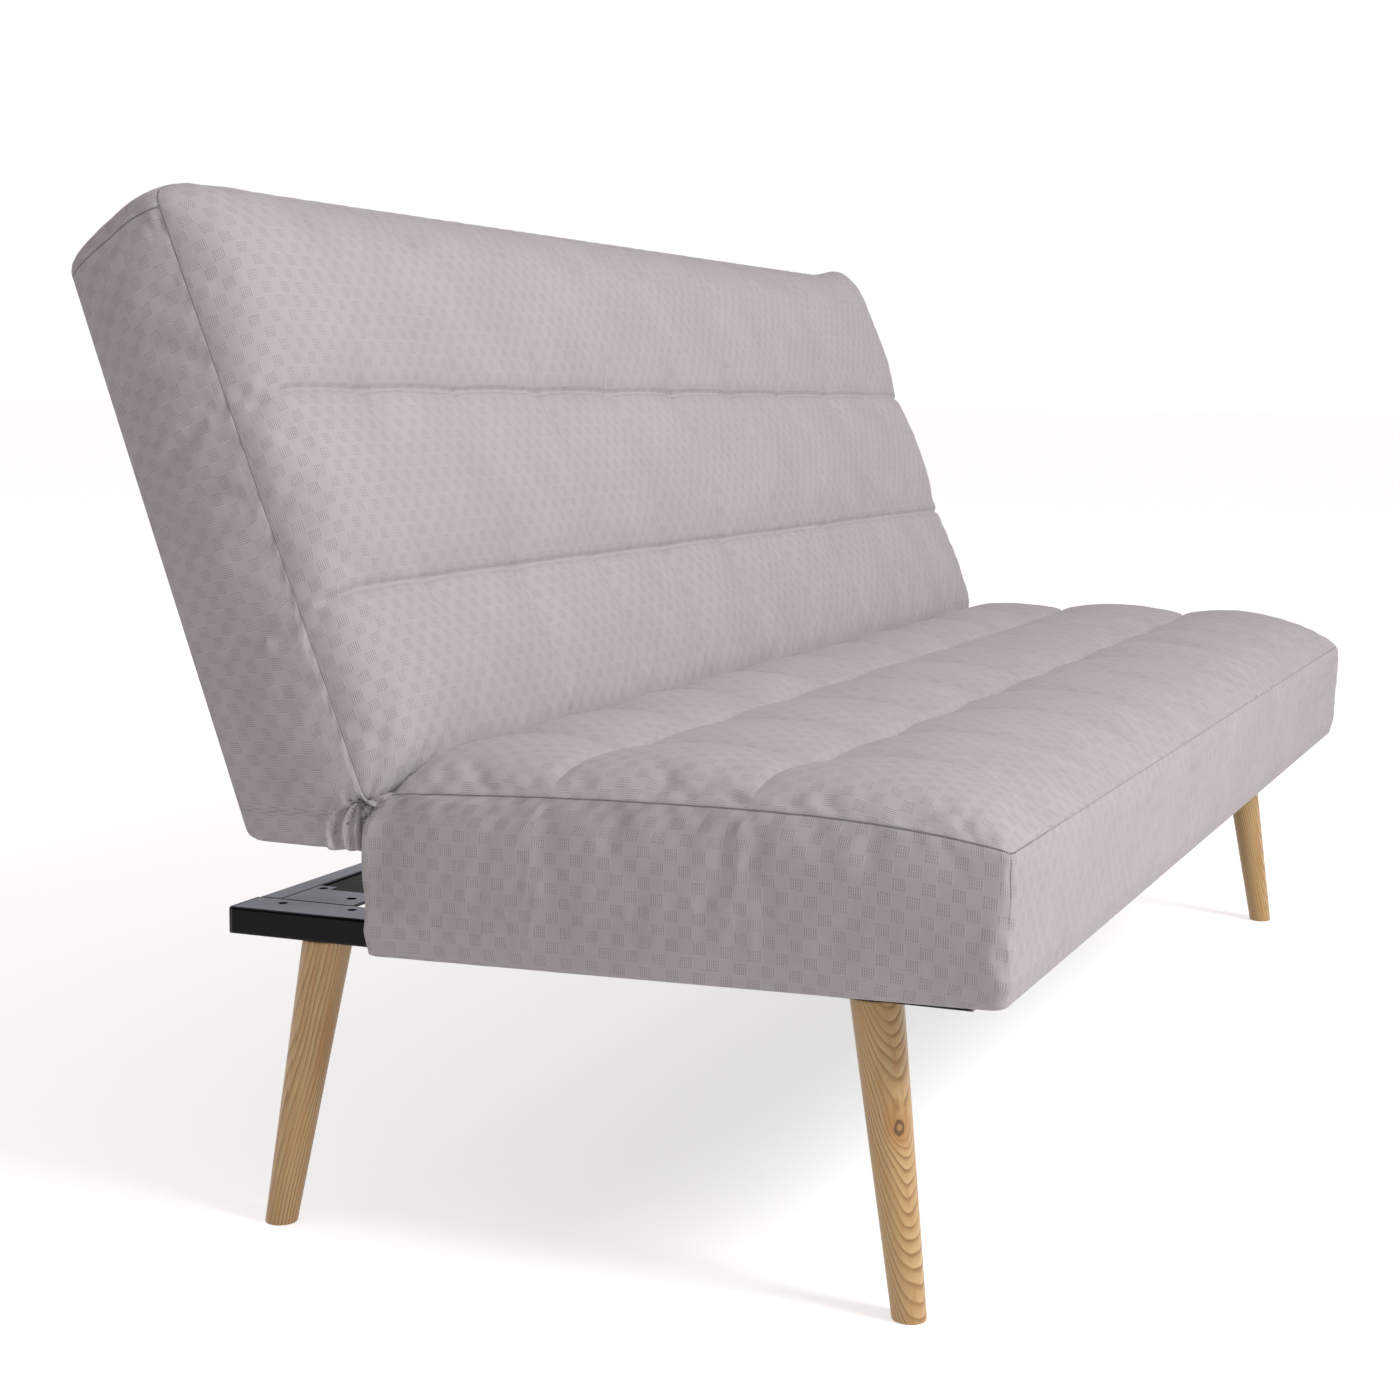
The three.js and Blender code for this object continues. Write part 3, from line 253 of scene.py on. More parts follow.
@dataclass(frozen=True)
class SuedeCloth:
    """Woven polyester suede, embossed with staggered blocks of tiny dashes: matt, with a soft nap.

    Along one flank of each dash a painted highlight lightens the colour, as if light fell on that side.
    Where it is pulled flat and brushed by use the dashes and their painted highlights nearly vanish: the
    attribute "emboss" says how much of them is left.
    """

    ground: str = "bcb6b7"
    rubbed: str = "c6c1c1"
    shaded: str = "aca6a6"
    dash: str = "766d6e"
    # The near-white colour of the painted highlight along one flank of each dash.
    lit_flank: str = "efe9e9"
    thread: str = "454041"
    block_pitch: float = 24.2
    row_pitch: float = 12.9
    block_width: float = 11.4
    block_height: float = 10.3
    dash_pitch: float = 1.9
    dash_row_pitch: float = 2.58
    dash_share: float = 0.42
    flank_share: float = 0.34
    length_share: float = 0.58
    rib_pitch: float = 2.2
    seam_line: float = 0.8

    def material(self) -> bpy.types.Material:
        """Builds the material from the cloth's own places."""
        t = Tree(bpy.data.materials.new("suede_polyester"))
        place = t.add("UVMap", uv_map="Cloth")
        cloth = t.add("SeparateXYZ", place)
        seam = t.add("SeparateXYZ", t.add("UVMap", uv_map="Seams"))
        along, down = cloth.outputs[0], cloth.outputs[1]
        emboss = t.add("Attribute", attribute_name="emboss").outputs["Fac"]

        rows = t.add("Math DIVIDE", down, self.row_pitch * MM)
        odd = t.add("Math MODULO", t.add("Math FLOOR", t.add("Math ADD", rows, 1000.0)), 2.0)
        columns = t.add(
            "Math ADD", t.add("Math DIVIDE", along, self.block_pitch * MM), t.add("Math MULTIPLY", odd, 0.5)
        )
        in_row = t.add("Math MULTIPLY", t.add("Math FRACT", rows), self.row_pitch)
        in_column = t.add("Math MULTIPLY", t.add("Math FRACT", columns), self.block_pitch)
        high = t.add("Math LESS_THAN", in_row, self.block_height)
        wide = t.add("Math LESS_THAN", in_column, self.block_width)
        stroke = t.add("Math FRACT", t.add("Math DIVIDE", in_column, self.dash_pitch))
        length = t.add(
            "Math LESS_THAN", t.add("Math FRACT", t.add("Math DIVIDE", in_row, self.dash_row_pitch)), self.length_share
        )
        inside = t.add("Math MULTIPLY", t.add("Math MULTIPLY", high, wide), length)
        dashes = t.add("Math MULTIPLY", inside, t.add("Math LESS_THAN", stroke, self.dash_share))
        flanks = t.add("Math MULTIPLY", inside, t.add("Math GREATER_THAN", stroke, 1 - self.flank_share))

        worn = t.add("TexNoise", {"Vector": place, "Scale": 9.0, "Detail": 4.0, "Roughness": 0.55})
        nap = t.add("TexNoise", {"Vector": place, "Scale": 900.0, "Detail": 2.0})
        handled = t.add("MapRange", worn, 0.35, 0.68, 0.0, 1.0)
        tone = t.add("Mix", handled, linear(self.shaded), linear(self.rubbed), data_type="RGBA")
        tone = t.add("Mix", 0.24, linear(self.ground), tone, data_type="RGBA")
        sunk = t.add("Math MULTIPLY", t.add("Math MULTIPLY", dashes, 0.55), emboss)
        tone = t.add("Mix", sunk, tone, linear(self.dash), data_type="RGBA")
        # Painted highlight: one flank of each dash is mixed towards lit_flank, as if light fell on it.
        painted_highlight_share = t.add("Math MULTIPLY", t.add("Math MULTIPLY", flanks, 0.34), emboss)
        tone = t.add("Mix", painted_highlight_share, tone, linear(self.lit_flank), data_type="RGBA")
        stitched = t.add("Math LESS_THAN", seam.outputs[0], self.seam_line * MM)
        seam_depth = t.add("Math MULTIPLY", t.add("Math MULTIPLY", stitched, 0.55), emboss)
        tone = t.add("Mix", seam_depth, tone, linear(self.thread), data_type="RGBA")

        rib = t.add("Math SINE", t.add("Math MULTIPLY", down, 2 * np.pi / (self.rib_pitch * MM)))
        relief = t.add("Math SUBTRACT", t.add("Math MULTIPLY", flanks, 0.5), dashes)
        relief = t.add("Math ADD", relief, t.add("Math MULTIPLY", rib, 0.06))
        press = t.add("Bump", {"Strength": 0.6, "Distance": 0.0004, "Height": relief})
        fuzz = t.add("Bump", {"Strength": 0.3, "Distance": 0.0003, "Height": nap, "Normal": press})
        shader = t.add(
            "BsdfPrincipled",
            {
                "Base Color": tone,
                "Roughness": 0.92,
                "Specular IOR Level": 0.2,
                "Sheen Weight": 0.25,
                "Sheen Roughness": 0.4,
                "Sheen Tint": linear("e8e2e2"),
                "Normal": fuzz,
            },
        )
        return t.finish(shader)


@dataclass(frozen=True)
class SpunbondCloth:
    """Black spunbond non-woven polypropylene: pressed fibres with a faint dimpled grid."""

    colour: str = "1c1c1e"
    dimple: float = 2.0

    def material(self) -> bpy.types.Material:
        """Builds the material from Object coordinates."""
        t = Tree(bpy.data.materials.new("spunbond_polypropylene"))
        place = t.add("TexCoord").outputs["Object"]
        fibres = t.add("TexNoise", {"Vector": place, "Scale": 420.0, "Detail": 4.0})
        dimples = t.add("TexVoronoi", {"Vector": place, "Scale": 1 / (self.dimple * MM), "Randomness": 0.15})
        tone = t.add(
            "Mix", {0: fibres, 6: linear(self.colour), 7: linear("2c2c2f")}, data_type="RGBA"
        )
        bump = t.add("Bump", {"Strength": 0.5, "Distance": 0.0004, "Height": dimples})
        shader = t.add("BsdfPrincipled", {"Base Color": tone, "Roughness": 0.85, "Normal": bump})
        return t.finish(shader)


@dataclass(frozen=True)
class LacqueredPine:
    """Turned solid pine, clear satin lacquer: honey, thin brown year rings drawn out along it, here and there a knot.

    The attribute "timber" gives each place in the plank that the leg was turned from, and "knot" its place
    from the nearest knot.
    """

    pale: str = "d9b987"
    middle: str = "c6a06b"
    late: str = "8d6338"
    honey: str = "b88349"
    knot: str = "5e3d20"
    knot_heart: str = "b08a5c"
    ring_pitch: float = 3.2
    knot_core: float = 5.4
    knot_rim: float = 1.3

    def material(self) -> bpy.types.Material:
        """Builds the material from the leg's own places: across and deep in the plank, and along it."""
        t = Tree(bpy.data.materials.new("lacquered_turned_pine"))
        timber = t.add("Attribute", attribute_name="timber").outputs["Vector"]
        knot = t.add("Attribute", attribute_name="knot").outputs["Vector"]
        swirl = t.add("TexNoise", {"Vector": knot, "Scale": 160.0, "Detail": 2.0})
        from_knot = t.add("Math MULTIPLY", t.add("VectorMath LENGTH", knot).outputs["Value"], 1 / MM)
        from_knot = t.add("Math ADD", from_knot, t.add("Math MULTIPLY", swirl, 4.0))
        slow = t.add("Mapping", {0: timber, "Scale": (1.0, 1.0, 0.2)})
        sway = t.add("TexNoise", {"Vector": slow, "Scale": 26.0, "Detail": 2.0, "Roughness": 0.45})
        parts = t.add("SeparateXYZ", timber)
        heart = t.add(
            "Math SQRT",
            t.add("Math ADD", t.add("Math POWER", parts, 2.0), t.add("Math POWER", parts.outputs[1], 2.0)),
        )
        drawn = t.add("Math MULTIPLY", t.add("Math EXPONENT", t.add("Math MULTIPLY", from_knot, -0.1)), 14.0)
        years = t.add("Math ADD", t.add("Math MULTIPLY", heart, 1 / MM), t.add("Math MULTIPLY", sway, 13.0))
        years = t.add("Math ADD", years, drawn)
        rings = t.add("ValToRGB", t.add("Math FRACT", t.add("Math DIVIDE", years, self.ring_pitch)))
        ramp = rings.color_ramp
        ramp.elements[0].color = linear(self.pale)
        ramp.elements[1].color = linear(self.pale)
        for place, colour in ((0.55, self.middle), (0.84, self.late), (0.91, self.middle)):
            ramp.elements.new(place).color = linear(colour)
        fine = t.add("Mapping", {0: timber, "Scale": (1.0, 1.0, 0.02)})
        fibres = t.add("TexNoise", {"Vector": fine, "Scale": 650.0, "Detail": 3.0})
        streaks = t.add("TexNoise", {"Vector": fine, "Scale": 170.0, "Detail": 1.0})
        patches = t.add("TexNoise", {"Vector": slow, "Scale": 60.0, "Detail": 2.0})
        strength = t.add("MapRange", patches, 0.35, 0.65, 0.35, 0.95)
        tone = t.add("Mix", strength, linear(self.middle), rings, data_type="RGBA")
        streak = t.add("MapRange", streaks, 0.52, 0.72, 0.0, 0.45)
        tone = t.add("Mix", streak, tone, linear(self.honey), data_type="RGBA")
        tone = t.add("Mix", 0.2, tone, fibres.outputs[1], data_type="RGBA", blend_type="SOFT_LIGHT")
        halo = t.add("MapRange", from_knot, 6.0, 17.0, 0.8, 0.0)
        tone = t.add("Mix", halo, tone, linear(self.honey), data_type="RGBA")
        core = t.add("Math LESS_THAN", from_knot, self.knot_core)
        tone = t.add("Mix", t.add("Math MULTIPLY", core, 0.7), tone, linear(self.knot_heart), data_type="RGBA")
        bark = t.add("Math COMPARE", from_knot, self.knot_core, self.knot_rim)
        tone = t.add("Mix", t.add("Math MULTIPLY", bark, 0.8), tone, linear(self.knot), data_type="RGBA")
        bump = t.add("Bump", {"Strength": 0.15, "Distance": 0.0003, "Height": fibres})
        shader = t.add(
            "BsdfPrincipled",
            {
                "Base Color": tone,
                "Roughness": 0.42,
                "Coat Weight": 0.2,
                "Coat Roughness": 0.3,
                "Normal": bump,
            },
        )
        return t.finish(shader)


@dataclass(frozen=True)
class BakedPaint:
    """Stoved black paint on rolled steel tube: deep and smooth, a soft shine at a flat angle, dust and scuffs on top."""

    name: str = "stoved_black_paint"
    colour: str = "0b0b0c"
    dust: str = "9a9bb0"
    roughness: float = 0.15
    shine: float = 0.12
    dusting: float = 0.05

    def material(self) -> bpy.types.Material:
        """Builds the material from Object coordinates."""
        t = Tree(bpy.data.materials.new(self.name))
        place = t.add("TexCoord").outputs["Object"]
        peel = t.add("TexNoise", {"Vector": place, "Scale": 260.0, "Detail": 2.0})
        chips = t.add("TexVoronoi", {"Vector": place, "Scale": 55.0, "Randomness": 1.0})
        chip = t.add("Math LESS_THAN", chips, 0.05)
        cloudy = t.add("TexNoise", {"Vector": place, "Scale": 18.0, "Detail": 5.0})
        tone = t.add("Mix", cloudy, linear(self.colour), linear("121216"), data_type="RGBA")
        tone = t.add("Mix", t.add("Math MULTIPLY", chip, 0.5), tone, linear("5c5c62"), data_type="RGBA")
        uneven = t.add("MapRange", cloudy, 0.3, 0.7, self.roughness, self.roughness + 0.12)
        bump = t.add("Bump", {"Strength": 0.12, "Distance": 0.0004, "Height": peel})
        shader = t.add(
            "BsdfPrincipled",
            {
                "Base Color": tone,
                "Roughness": uneven,
                "Specular IOR Level": self.shine,
                "Sheen Weight": self.dusting,
                "Sheen Roughness": 0.3,
                "Sheen Tint": linear(self.dust),
                "Normal": bump,
            },
        )
        return t.finish(shader)


@dataclass(frozen=True)
class ZincPlate:
    """Bright zinc plating on pressed steel: grey, softly brushed, with a blurred reflection."""

    colour: str = "b4b6b8"

    def material(self) -> bpy.types.Material:
        """Builds the material from Object coordinates."""
        t = Tree(bpy.data.materials.new("bright_zinc_plated_steel"))
        place = t.add("TexCoord").outputs["Object"]
        grain = t.add("TexNoise", {"Vector": place, "Scale": 500.0, "Detail": 3.0})
        rough = t.add("MapRange", grain, 0.3, 0.7, 0.28, 0.45)
        shader = t.add(
            "BsdfPrincipled", {"Base Color": linear(self.colour), "Metallic": 1.0, "Roughness": rough}
        )
        return t.finish(shader)


@dataclass(frozen=True)
class BirchPly:
    """Sanded birch plywood: pale, with long soft grain."""

    colour: str = "d6bd92"

    def material(self) -> bpy.types.Material:
        """Builds the material from Object coordinates, its grain along X."""
        t = Tree(bpy.data.materials.new("sanded_birch_plywood"))
        place = t.add("TexCoord").outputs["Object"]
        long = t.add("Mapping", {0: place, "Scale": (0.08, 1.0, 1.0)})
        grain = t.add("TexNoise", {"Vector": long, "Scale": 120.0, "Detail": 5.0})
        tone = t.add("Mix", grain, linear(self.colour), linear("b8996a"), data_type="RGBA")
        shader = t.add("BsdfPrincipled", {"Base Color": tone, "Roughness": 0.6})
        return t.finish(shader)


@dataclass(frozen=True)
class CutFoam:
    """Cut polyurethane foam: cream, open cells about half a millimetre across."""

    colour: str = "e8dfb4"

    def material(self) -> bpy.types.Material:
        """Builds the material from Object coordinates."""
        t = Tree(bpy.data.materials.new("cut_polyurethane_foam"))
        place = t.add("TexCoord").outputs["Object"]
        cells = t.add("TexVoronoi", {"Vector": place, "Scale": 1200.0})
        tone = t.add("Mix", cells, linear("cfc596"), linear(self.colour), data_type="RGBA")
        bump = t.add("Bump", {"Strength": 0.6, "Distance": 0.0006, "Height": cells})
        shader = t.add("BsdfPrincipled", {"Base Color": tone, "Roughness": 1.0, "Normal": bump})
        return t.finish(shader)


@dataclass(frozen=True)
class MouldedPolythene:
    """Injection-moulded polythene end cap: black, satin, finely textured."""

    colour: str = "151517"

    def material(self) -> bpy.types.Material:
        """Builds the material from Object coordinates."""
        t = Tree(bpy.data.materials.new("moulded_polythene"))
        place = t.add("TexCoord").outputs["Object"]
        texture = t.add("TexNoise", {"Vector": place, "Scale": 1500.0, "Detail": 2.0})
        bump = t.add("Bump", {"Strength": 0.3, "Distance": 0.0002, "Height": texture})
        tone = t.add("Mix", texture, linear(self.colour), linear("222224"), data_type="RGBA")
        shader = t.add("BsdfPrincipled", {"Base Color": tone, "Roughness": 0.45, "Normal": bump})
        return t.finish(shader)


class Finish(Enum):
    """The finishes, by the name of the record's slot."""

    cover_fabric = SuedeCloth()
    dust_fabric = SpunbondCloth()
    foam = CutFoam()
    plywood = BirchPly()
    leg_wood = LacqueredPine()
    base_steel = BakedPaint()
    frame_steel = BakedPaint(name="satin_black_paint", colour="19191b", roughness=0.4)
    zinc_steel = ZincPlate()
    cap_plastic = MouldedPolythene()


class Paintbox:
    """Makes each finish's material once and gives it to pieces."""

    def __init__(self) -> None:
        """Makes every material."""
        self.materials = {finish.name: finish.value.material() for finish in Finish}

    def dress(self, piece: bpy.types.Object, finish: Finish) -> None:
        """Gives a piece or a node its material."""
        piece.data.materials.clear()
        piece.data.materials.append(self.materials[finish.name])


# Cushions


@dataclass
class Tufting:
    """Where a cushion's length is divided."""

    half_length: float = 900.0
    end_inset: float = 164.0
    count: int = 9

    def tufts(self) -> np.ndarray:
        """The tufts, from left to right."""
        reach = self.half_length - self.end_inset
        return np.linspace(-reach, reach, self.count)

    def columns(self) -> np.ndarray:
        """The two ends and every tuft between them."""
        return np.concatenate([[-self.half_length], self.tufts(), [self.half_length]])


@dataclass
class Places:
    """Where each point of a cover lies on its cloth, as one array a value."""

    panel: np.ndarray
    x: np.ndarray
    b: np.ndarray
    walk: np.ndarray
    down: np.ndarray
    seam: np.ndarray

    TOP = 0
    BOXING = 1
    INSIDE = 2

    @classmethod
    def joined(cls, parts: list["Places"]) -> "Places":
        """Puts the points of several grids in one row."""
        names = ("panel", "x", "b", "walk", "down", "seam")
        return cls(*(np.concatenate([getattr(part, name).ravel() for part in parts]) for name in names))


@dataclass
class Cover:
    """A cover's grid lines and points: the top, and rings from its seam down the side, the hem and the lining."""

    xs: np.ndarray
    bs: np.ndarray
    ring: np.ndarray
    shares: np.ndarray
    top: np.ndarray
    side: np.ndarray

    def border_walk(self) -> np.ndarray:
        """How far round the panel each border place lies, with the first one repeated at the end."""
        rx = self.xs[np.append(self.ring[:, 0], self.ring[0, 0])]
        rb = self.bs[np.append(self.ring[:, 1], self.ring[0, 1])]
        return np.concatenate([[0], np.cumsum(np.abs(np.diff(rx)) + np.abs(np.diff(rb)))])


@dataclass
class Inflation:
    """A cloth simulation that swells a cover from inside while its seams are held."""

    pressure: float = 4.0
    frames: int = 20
    growth: float = 0.015
    tension: float = 15.0
    bending: float = 0.6
    cap: float = 10.0

    def run(self, piece: bpy.types.Object, held: np.ndarray) -> np.ndarray:
        """Runs the cloth and takes it off again.

        Args:
            piece: the closed cover, as it starts.
            held: for each point, 1 where it can't move and 0 where it is free.
        Returns:
            How far each point has moved, in metres, no further than the cap.
        """
        group = piece.vertex_groups.new(name="held")
        for level in np.unique(np.round(held, 2)):
            if level > 0:
                group.add(np.flatnonzero(np.round(held, 2) == level).tolist(), float(level), "REPLACE")
        cloth = piece.modifiers.new("Cloth", "CLOTH")
        settings = cloth.settings
        settings.quality = 4
        settings.mass = 0.3
        settings.air_damping = 2.0
        settings.tension_stiffness = self.tension
        settings.compression_stiffness = self.tension
        settings.shear_stiffness = self.tension / 3
        settings.bending_stiffness = self.bending
        settings.use_pressure = True
        settings.uniform_pressure_force = self.pressure
        settings.shrink_min = -self.growth
        settings.vertex_group_mass = group.name
        settings.effector_weights.gravity = 0.0
        cloth.collision_settings.use_collision = False
        scene = bpy.context.scene
        for number in range(1, self.frames + 1):
            scene.frame_set(number)
        count = len(piece.data.vertices)
        before = np.empty(count * 3, np.float32)
        after = np.empty(count * 3, np.float32)
        piece.data.vertices.foreach_get("co", before)
        swollen = piece.evaluated_get(bpy.context.evaluated_depsgraph_get())
        swollen.data.vertices.foreach_get("co", after)
        piece.modifiers.remove(cloth)
        piece.vertex_groups.remove(group)
        scene.frame_set(1)
        moved = (after - before).reshape(-1, 3).astype(float)
        far = np.linalg.norm(moved, axis=1, keepdims=True)
        cap = self.cap * MM
        LOG.info("%s swelled by %.1f mm at most", piece.name, far.max() / MM)
        return moved * np.where(far > cap, cap / np.maximum(far, 1e-9), 1.0)


def carried(values: np.ndarray, old: np.ndarray, new: np.ndarray, axis: int) -> np.ndarray:
    """Values on old grid lines read on new ones.

    A Catmull-Rom curve goes through the values: each new line takes shares of the four old ones round it.

    Args:
        values: the grid of values.
        old: where the old lines lie, rising.
        new: where the new lines lie.
        axis: the axis of the values that the lines cross.
    Returns:
        The grid with as many lines along that axis as new has.
    """
    at = np.interp(new, old, np.arange(len(old)))
    first = np.clip(np.floor(at).astype(int), 0, len(old) - 2)
    t = at - first
    shares = {
        -1: (-t + 2 * t**2 - t**3) / 2,
        0: (2 - 5 * t**2 + 3 * t**3) / 2,
        1: (t + 4 * t**2 - 3 * t**3) / 2,
        2: (-(t**2) + t**3) / 2,
    }
    moved = np.moveaxis(values, axis, 0)
    tall = (slice(None),) + (None,) * (moved.ndim - 1)
    read = sum(share[tall] * moved[np.clip(first + shift, 0, len(old) - 1)] for shift, share in shares.items())
    return np.moveaxis(read, 0, axis)


def walked(points: np.ndarray, axis: int) -> np.ndarray:
    """How far each point of a grid lies from the first one of its line, along the surface."""
    steps = np.linalg.norm(np.diff(points, axis=axis), axis=-1)
    first = np.zeros_like(np.take(steps, [0], axis=axis))
    return np.concatenate([first, np.cumsum(steps, axis=axis)], axis=axis)


def crescents(y: np.ndarray, z: np.ndarray) -> np.ndarray:
    """How far out the circle bulges that runs through a place and through the two ends of the hinge's fold line.

    The half angle at which the place sees the fold line gives the circle; on the line itself it is zero.

    Args:
        y: how far each place lies behind the hinge's axis, in millimetres.
        z: how far it lies above the axis.
    Returns:
        The bulge, in millimetres.
    """
    top, bottom = (-11.0, 20.0), (-12.0, -36.0)
    to_top = np.arctan2(top[1] - z, top[0] - y)
    to_bottom = np.arctan2(bottom[1] - z, bottom[0] - y)
    seen = np.abs((to_top - to_bottom + np.pi) % (2 * np.pi) - np.pi)
    half = np.hypot(top[0] - bottom[0], top[1] - bottom[1]) / 2
    return half / np.tan(np.clip(seen / 2, 0.2, np.pi / 2))


def crescent_folds(y: np.ndarray, z: np.ndarray) -> np.ndarray:
    """The height of the crescent folds, on the gather and on the back's end beside it.

    A dark cleft beside the seat, two narrow ridges, a deep valley, a broad ridge and a last soft wave; smooth
    steps join these heights from one bulge of the crescent to the next.

    Args:
        y: how far each place lies behind the hinge's axis, in millimetres.
        z: how far it lies above the axis.
    Returns:
        The height in millimetres.
    """
    bulges = np.array([0, 4.5, 9.5, 15, 23, 31, 41, 50, 64])
    heights = np.array([-11, -3.5, -7.5, -0.5, -7.5, 2.4, -1.4, 0.8, 0])
    bulged = crescents(y, z)
    cell = np.clip(np.searchsorted(bulges, bulged, side="right") - 1, 0, len(bulges) - 2)
    share = smooth(0, 1, (bulged - bulges[cell]) / (bulges[cell + 1] - bulges[cell]))
    return heights[cell] + (heights[cell + 1] - heights[cell]) * share


def pleats(at: np.ndarray, spacing: float, seed: int) -> np.ndarray:
    """Uneven pleats: round ridges with narrow valleys, from -1 to 1."""
    wave = ripples(at, spacing, seed)
    return 1 - 2 * np.abs(wave - 0.15) ** 0.75


def fan(x: np.ndarray, b: np.ndarray, folds: float, seed: int) -> np.ndarray:
    """Folds that spread from a corner at zero: from -1 to 0, deepest near it, uneven round it."""
    turn = np.arctan2(b, x)
    reach = np.hypot(x, b)
    wave = ripples(turn * 60, 60 * 2 * np.pi / folds, seed)
    return (wave - 1) / 2 * np.exp(-reach / 62) * smooth(4, 22, reach)


def ripples(at: np.ndarray, spacing: float, seed: int) -> np.ndarray:
    """Uneven waves: a sine whose phase and height both wander."""
    wander = cloud(at, np.zeros_like(at), (spacing * 2.3, 1.0), seed)
    height = 0.55 + 0.45 * cloud(at, np.zeros_like(at), (spacing * 1.7, 1.0), seed + 1)
    return height * np.sin(2 * np.pi * at / spacing + 3.0 * wander)


@dataclass
class Cushion:
    """A sewn cover with its padding: a tufted top, a boxing down its sides and a hem turned under."""

    name: str
    body: str
    node: str
    rows: tuple[float, ...]
    side: float
    seam: float
    crown: float
    dip: float
    crease: float
    room: tuple[float, float, float, float, float]
    foam: tuple[float, float, float, float]
    seed: int
    step: float = 5.5
    rough_step: float = 12.0
    pillow: float = 10.0
    pillow_power: float = 0.7
    pillow_end: float = 0.35
    crown_run: float = 60.0
    hem_calm: float = 26.0
    corner: float = 10.0
    hinge_corner: float = 10.0
    hem: float = 22.0
    seam_sink: float = 1.3
    tufting: Tufting = field(default_factory=Tufting)
    inflation: Inflation = field(default_factory=Inflation)

    def rises(self, x: np.ndarray, b: np.ndarray) -> np.ndarray:
        """How far the crown has risen at each place: 0 on the edge seams, 1 inside."""
        raise NotImplementedError

    def rim(self, x: np.ndarray, b: np.ndarray) -> np.ndarray:
        """How far the edge seam lies above its plain level."""
        return np.zeros_like(x)

    def top(self, x: np.ndarray, b: np.ndarray) -> np.ndarray:
        """The top's height: the rim, and rise times (crown + pillow of the cell - dip at the tufts)."""
        across = bulge(x, self.tufting.columns(), self.pillow_power)
        along = bulge(b, self.rows, self.pillow_power)
        crease = self.crease_share(b)
        inland = smooth(0, self.tufting.end_inset, self.tufting.half_length - np.abs(x))
        pillow = self.pillow * along * (1 - crease + crease * across)
        pillow = pillow * (self.pillow_end + (1 - self.pillow_end) * inland)
        return self.rim(x, b) + self.rises(x, b) * (self.crown + pillow - self.dip * (1 - across) * (1 - along))

    def calm(self, places: Places) -> np.ndarray:
        """0 on the hem and 1 well above it, so that folds die out before they reach the outline."""
        return smooth(1, self.hem_calm, self.side_at(places.x, places.b) - places.down)

    def crease_share(self, b: np.ndarray) -> np.ndarray:
        """How much of the pillow's height a crease between two tufts takes."""
        return np.full_like(b, self.crease)

    def outline(self, x: np.ndarray, b: np.ndarray, share: float) -> tuple[np.ndarray, np.ndarray]:
        """Where a place on the border lies in plan, at that share of the way down the side."""
        raise NotImplementedError

    def side_at(self, x: np.ndarray, b: np.ndarray) -> np.ndarray:
        """How high the boxing is at each place on the border."""
        return np.full_like(b, self.side)

    def placed(self, points: np.ndarray) -> np.ndarray:
        """Points of the cushion's own frame in the part's frame, in millimetres."""
        raise NotImplementedError

    def held(self, places: Places) -> np.ndarray:
        """How firmly the simulation holds each point."""
        raise NotImplementedError

    def relief(self, places: Places) -> np.ndarray:
        """How far each point stands out along its normal, over the swollen form: folds, puckers and grooves."""
        raise NotImplementedError

    def inset_lines(self, run: float, step: float, fine: bool) -> tuple[float, ...]:
        """Distances from an edge seam that lie even steps apart on the quarter circle of that run."""
        arcs = np.concatenate([[1.6, 3.6] if fine else [], np.arange(step * 1.2, run * 0.9, step)])
        lines = run * (1 - np.cos(arcs / run))
        return tuple(lines[np.concatenate([[True], np.diff(lines) < step])])

    def lines(self, seams: Sequence[float], runs: tuple[float, float], step: float, fine: bool) -> np.ndarray:
        """Grid lines over all the cells, closest at the edge seams and beside the rows of stitches.

        Args:
            seams: the edges and the rows or tufts between them.
            runs: over what distance the first and the last edge rise, or 0 where an edge is shallow.
            step: how far apart the lines are between the seams.
            fine: whether lines are added close beside each seam.
        Returns:
            The lines, from the first edge to the last.
        """
        plain = (1.2, 3.2, 6.5) if fine else (step,)
        made = [np.array([seams[0]])]
        for k, (low, high) in enumerate(zip(seams, seams[1:])):
            near = self.inset_lines(runs[0], step, fine) if k == 0 and runs[0] else plain
            far = self.inset_lines(runs[1], step, fine) if k == len(seams) - 2 and runs[1] else plain
            count = max(int(round((high - low - near[-1] - far[-1]) / step)), 1)
            middle = np.linspace(low + near[-1], high - far[-1], count + 1)
            made.append(np.concatenate([low + np.array(near[:-1]), middle, high - np.array(far[:-1])[::-1], [high]]))
        return np.concatenate(made)

    def rounded(
        self, x: np.ndarray, b: np.ndarray, half: float | np.ndarray, near: float, far: float
    ) -> tuple[np.ndarray, np.ndarray]:
        """Scales the panel to a plan with quarter-round corners.

        The square at each corner becomes a quarter disc: a place keeps its direction from the square's
        inner corner, and its distance becomes the longer of its two sides.
        """
        across = (2 * (b - self.rows[0]) / (self.rows[-1] - self.rows[0]) - 1) * (far - near) / 2
        along = x / self.tufting.half_length * half
        corner = np.where(across > 0, self.hinge_corner, self.corner)
        over_x = np.maximum(np.abs(along) - half + corner, 0)
        over_b = np.maximum(np.abs(across) - (far - near) / 2 + corner, 0)
        reach = np.hypot(over_x, over_b)
        pull = np.where((over_x > 0) & (over_b > 0), 1 - np.maximum(over_x, over_b) / np.maximum(reach, 1e-9), 0)
        return along - np.sign(along) * over_x * pull, (near + far) / 2 + across - np.sign(across) * over_b * pull

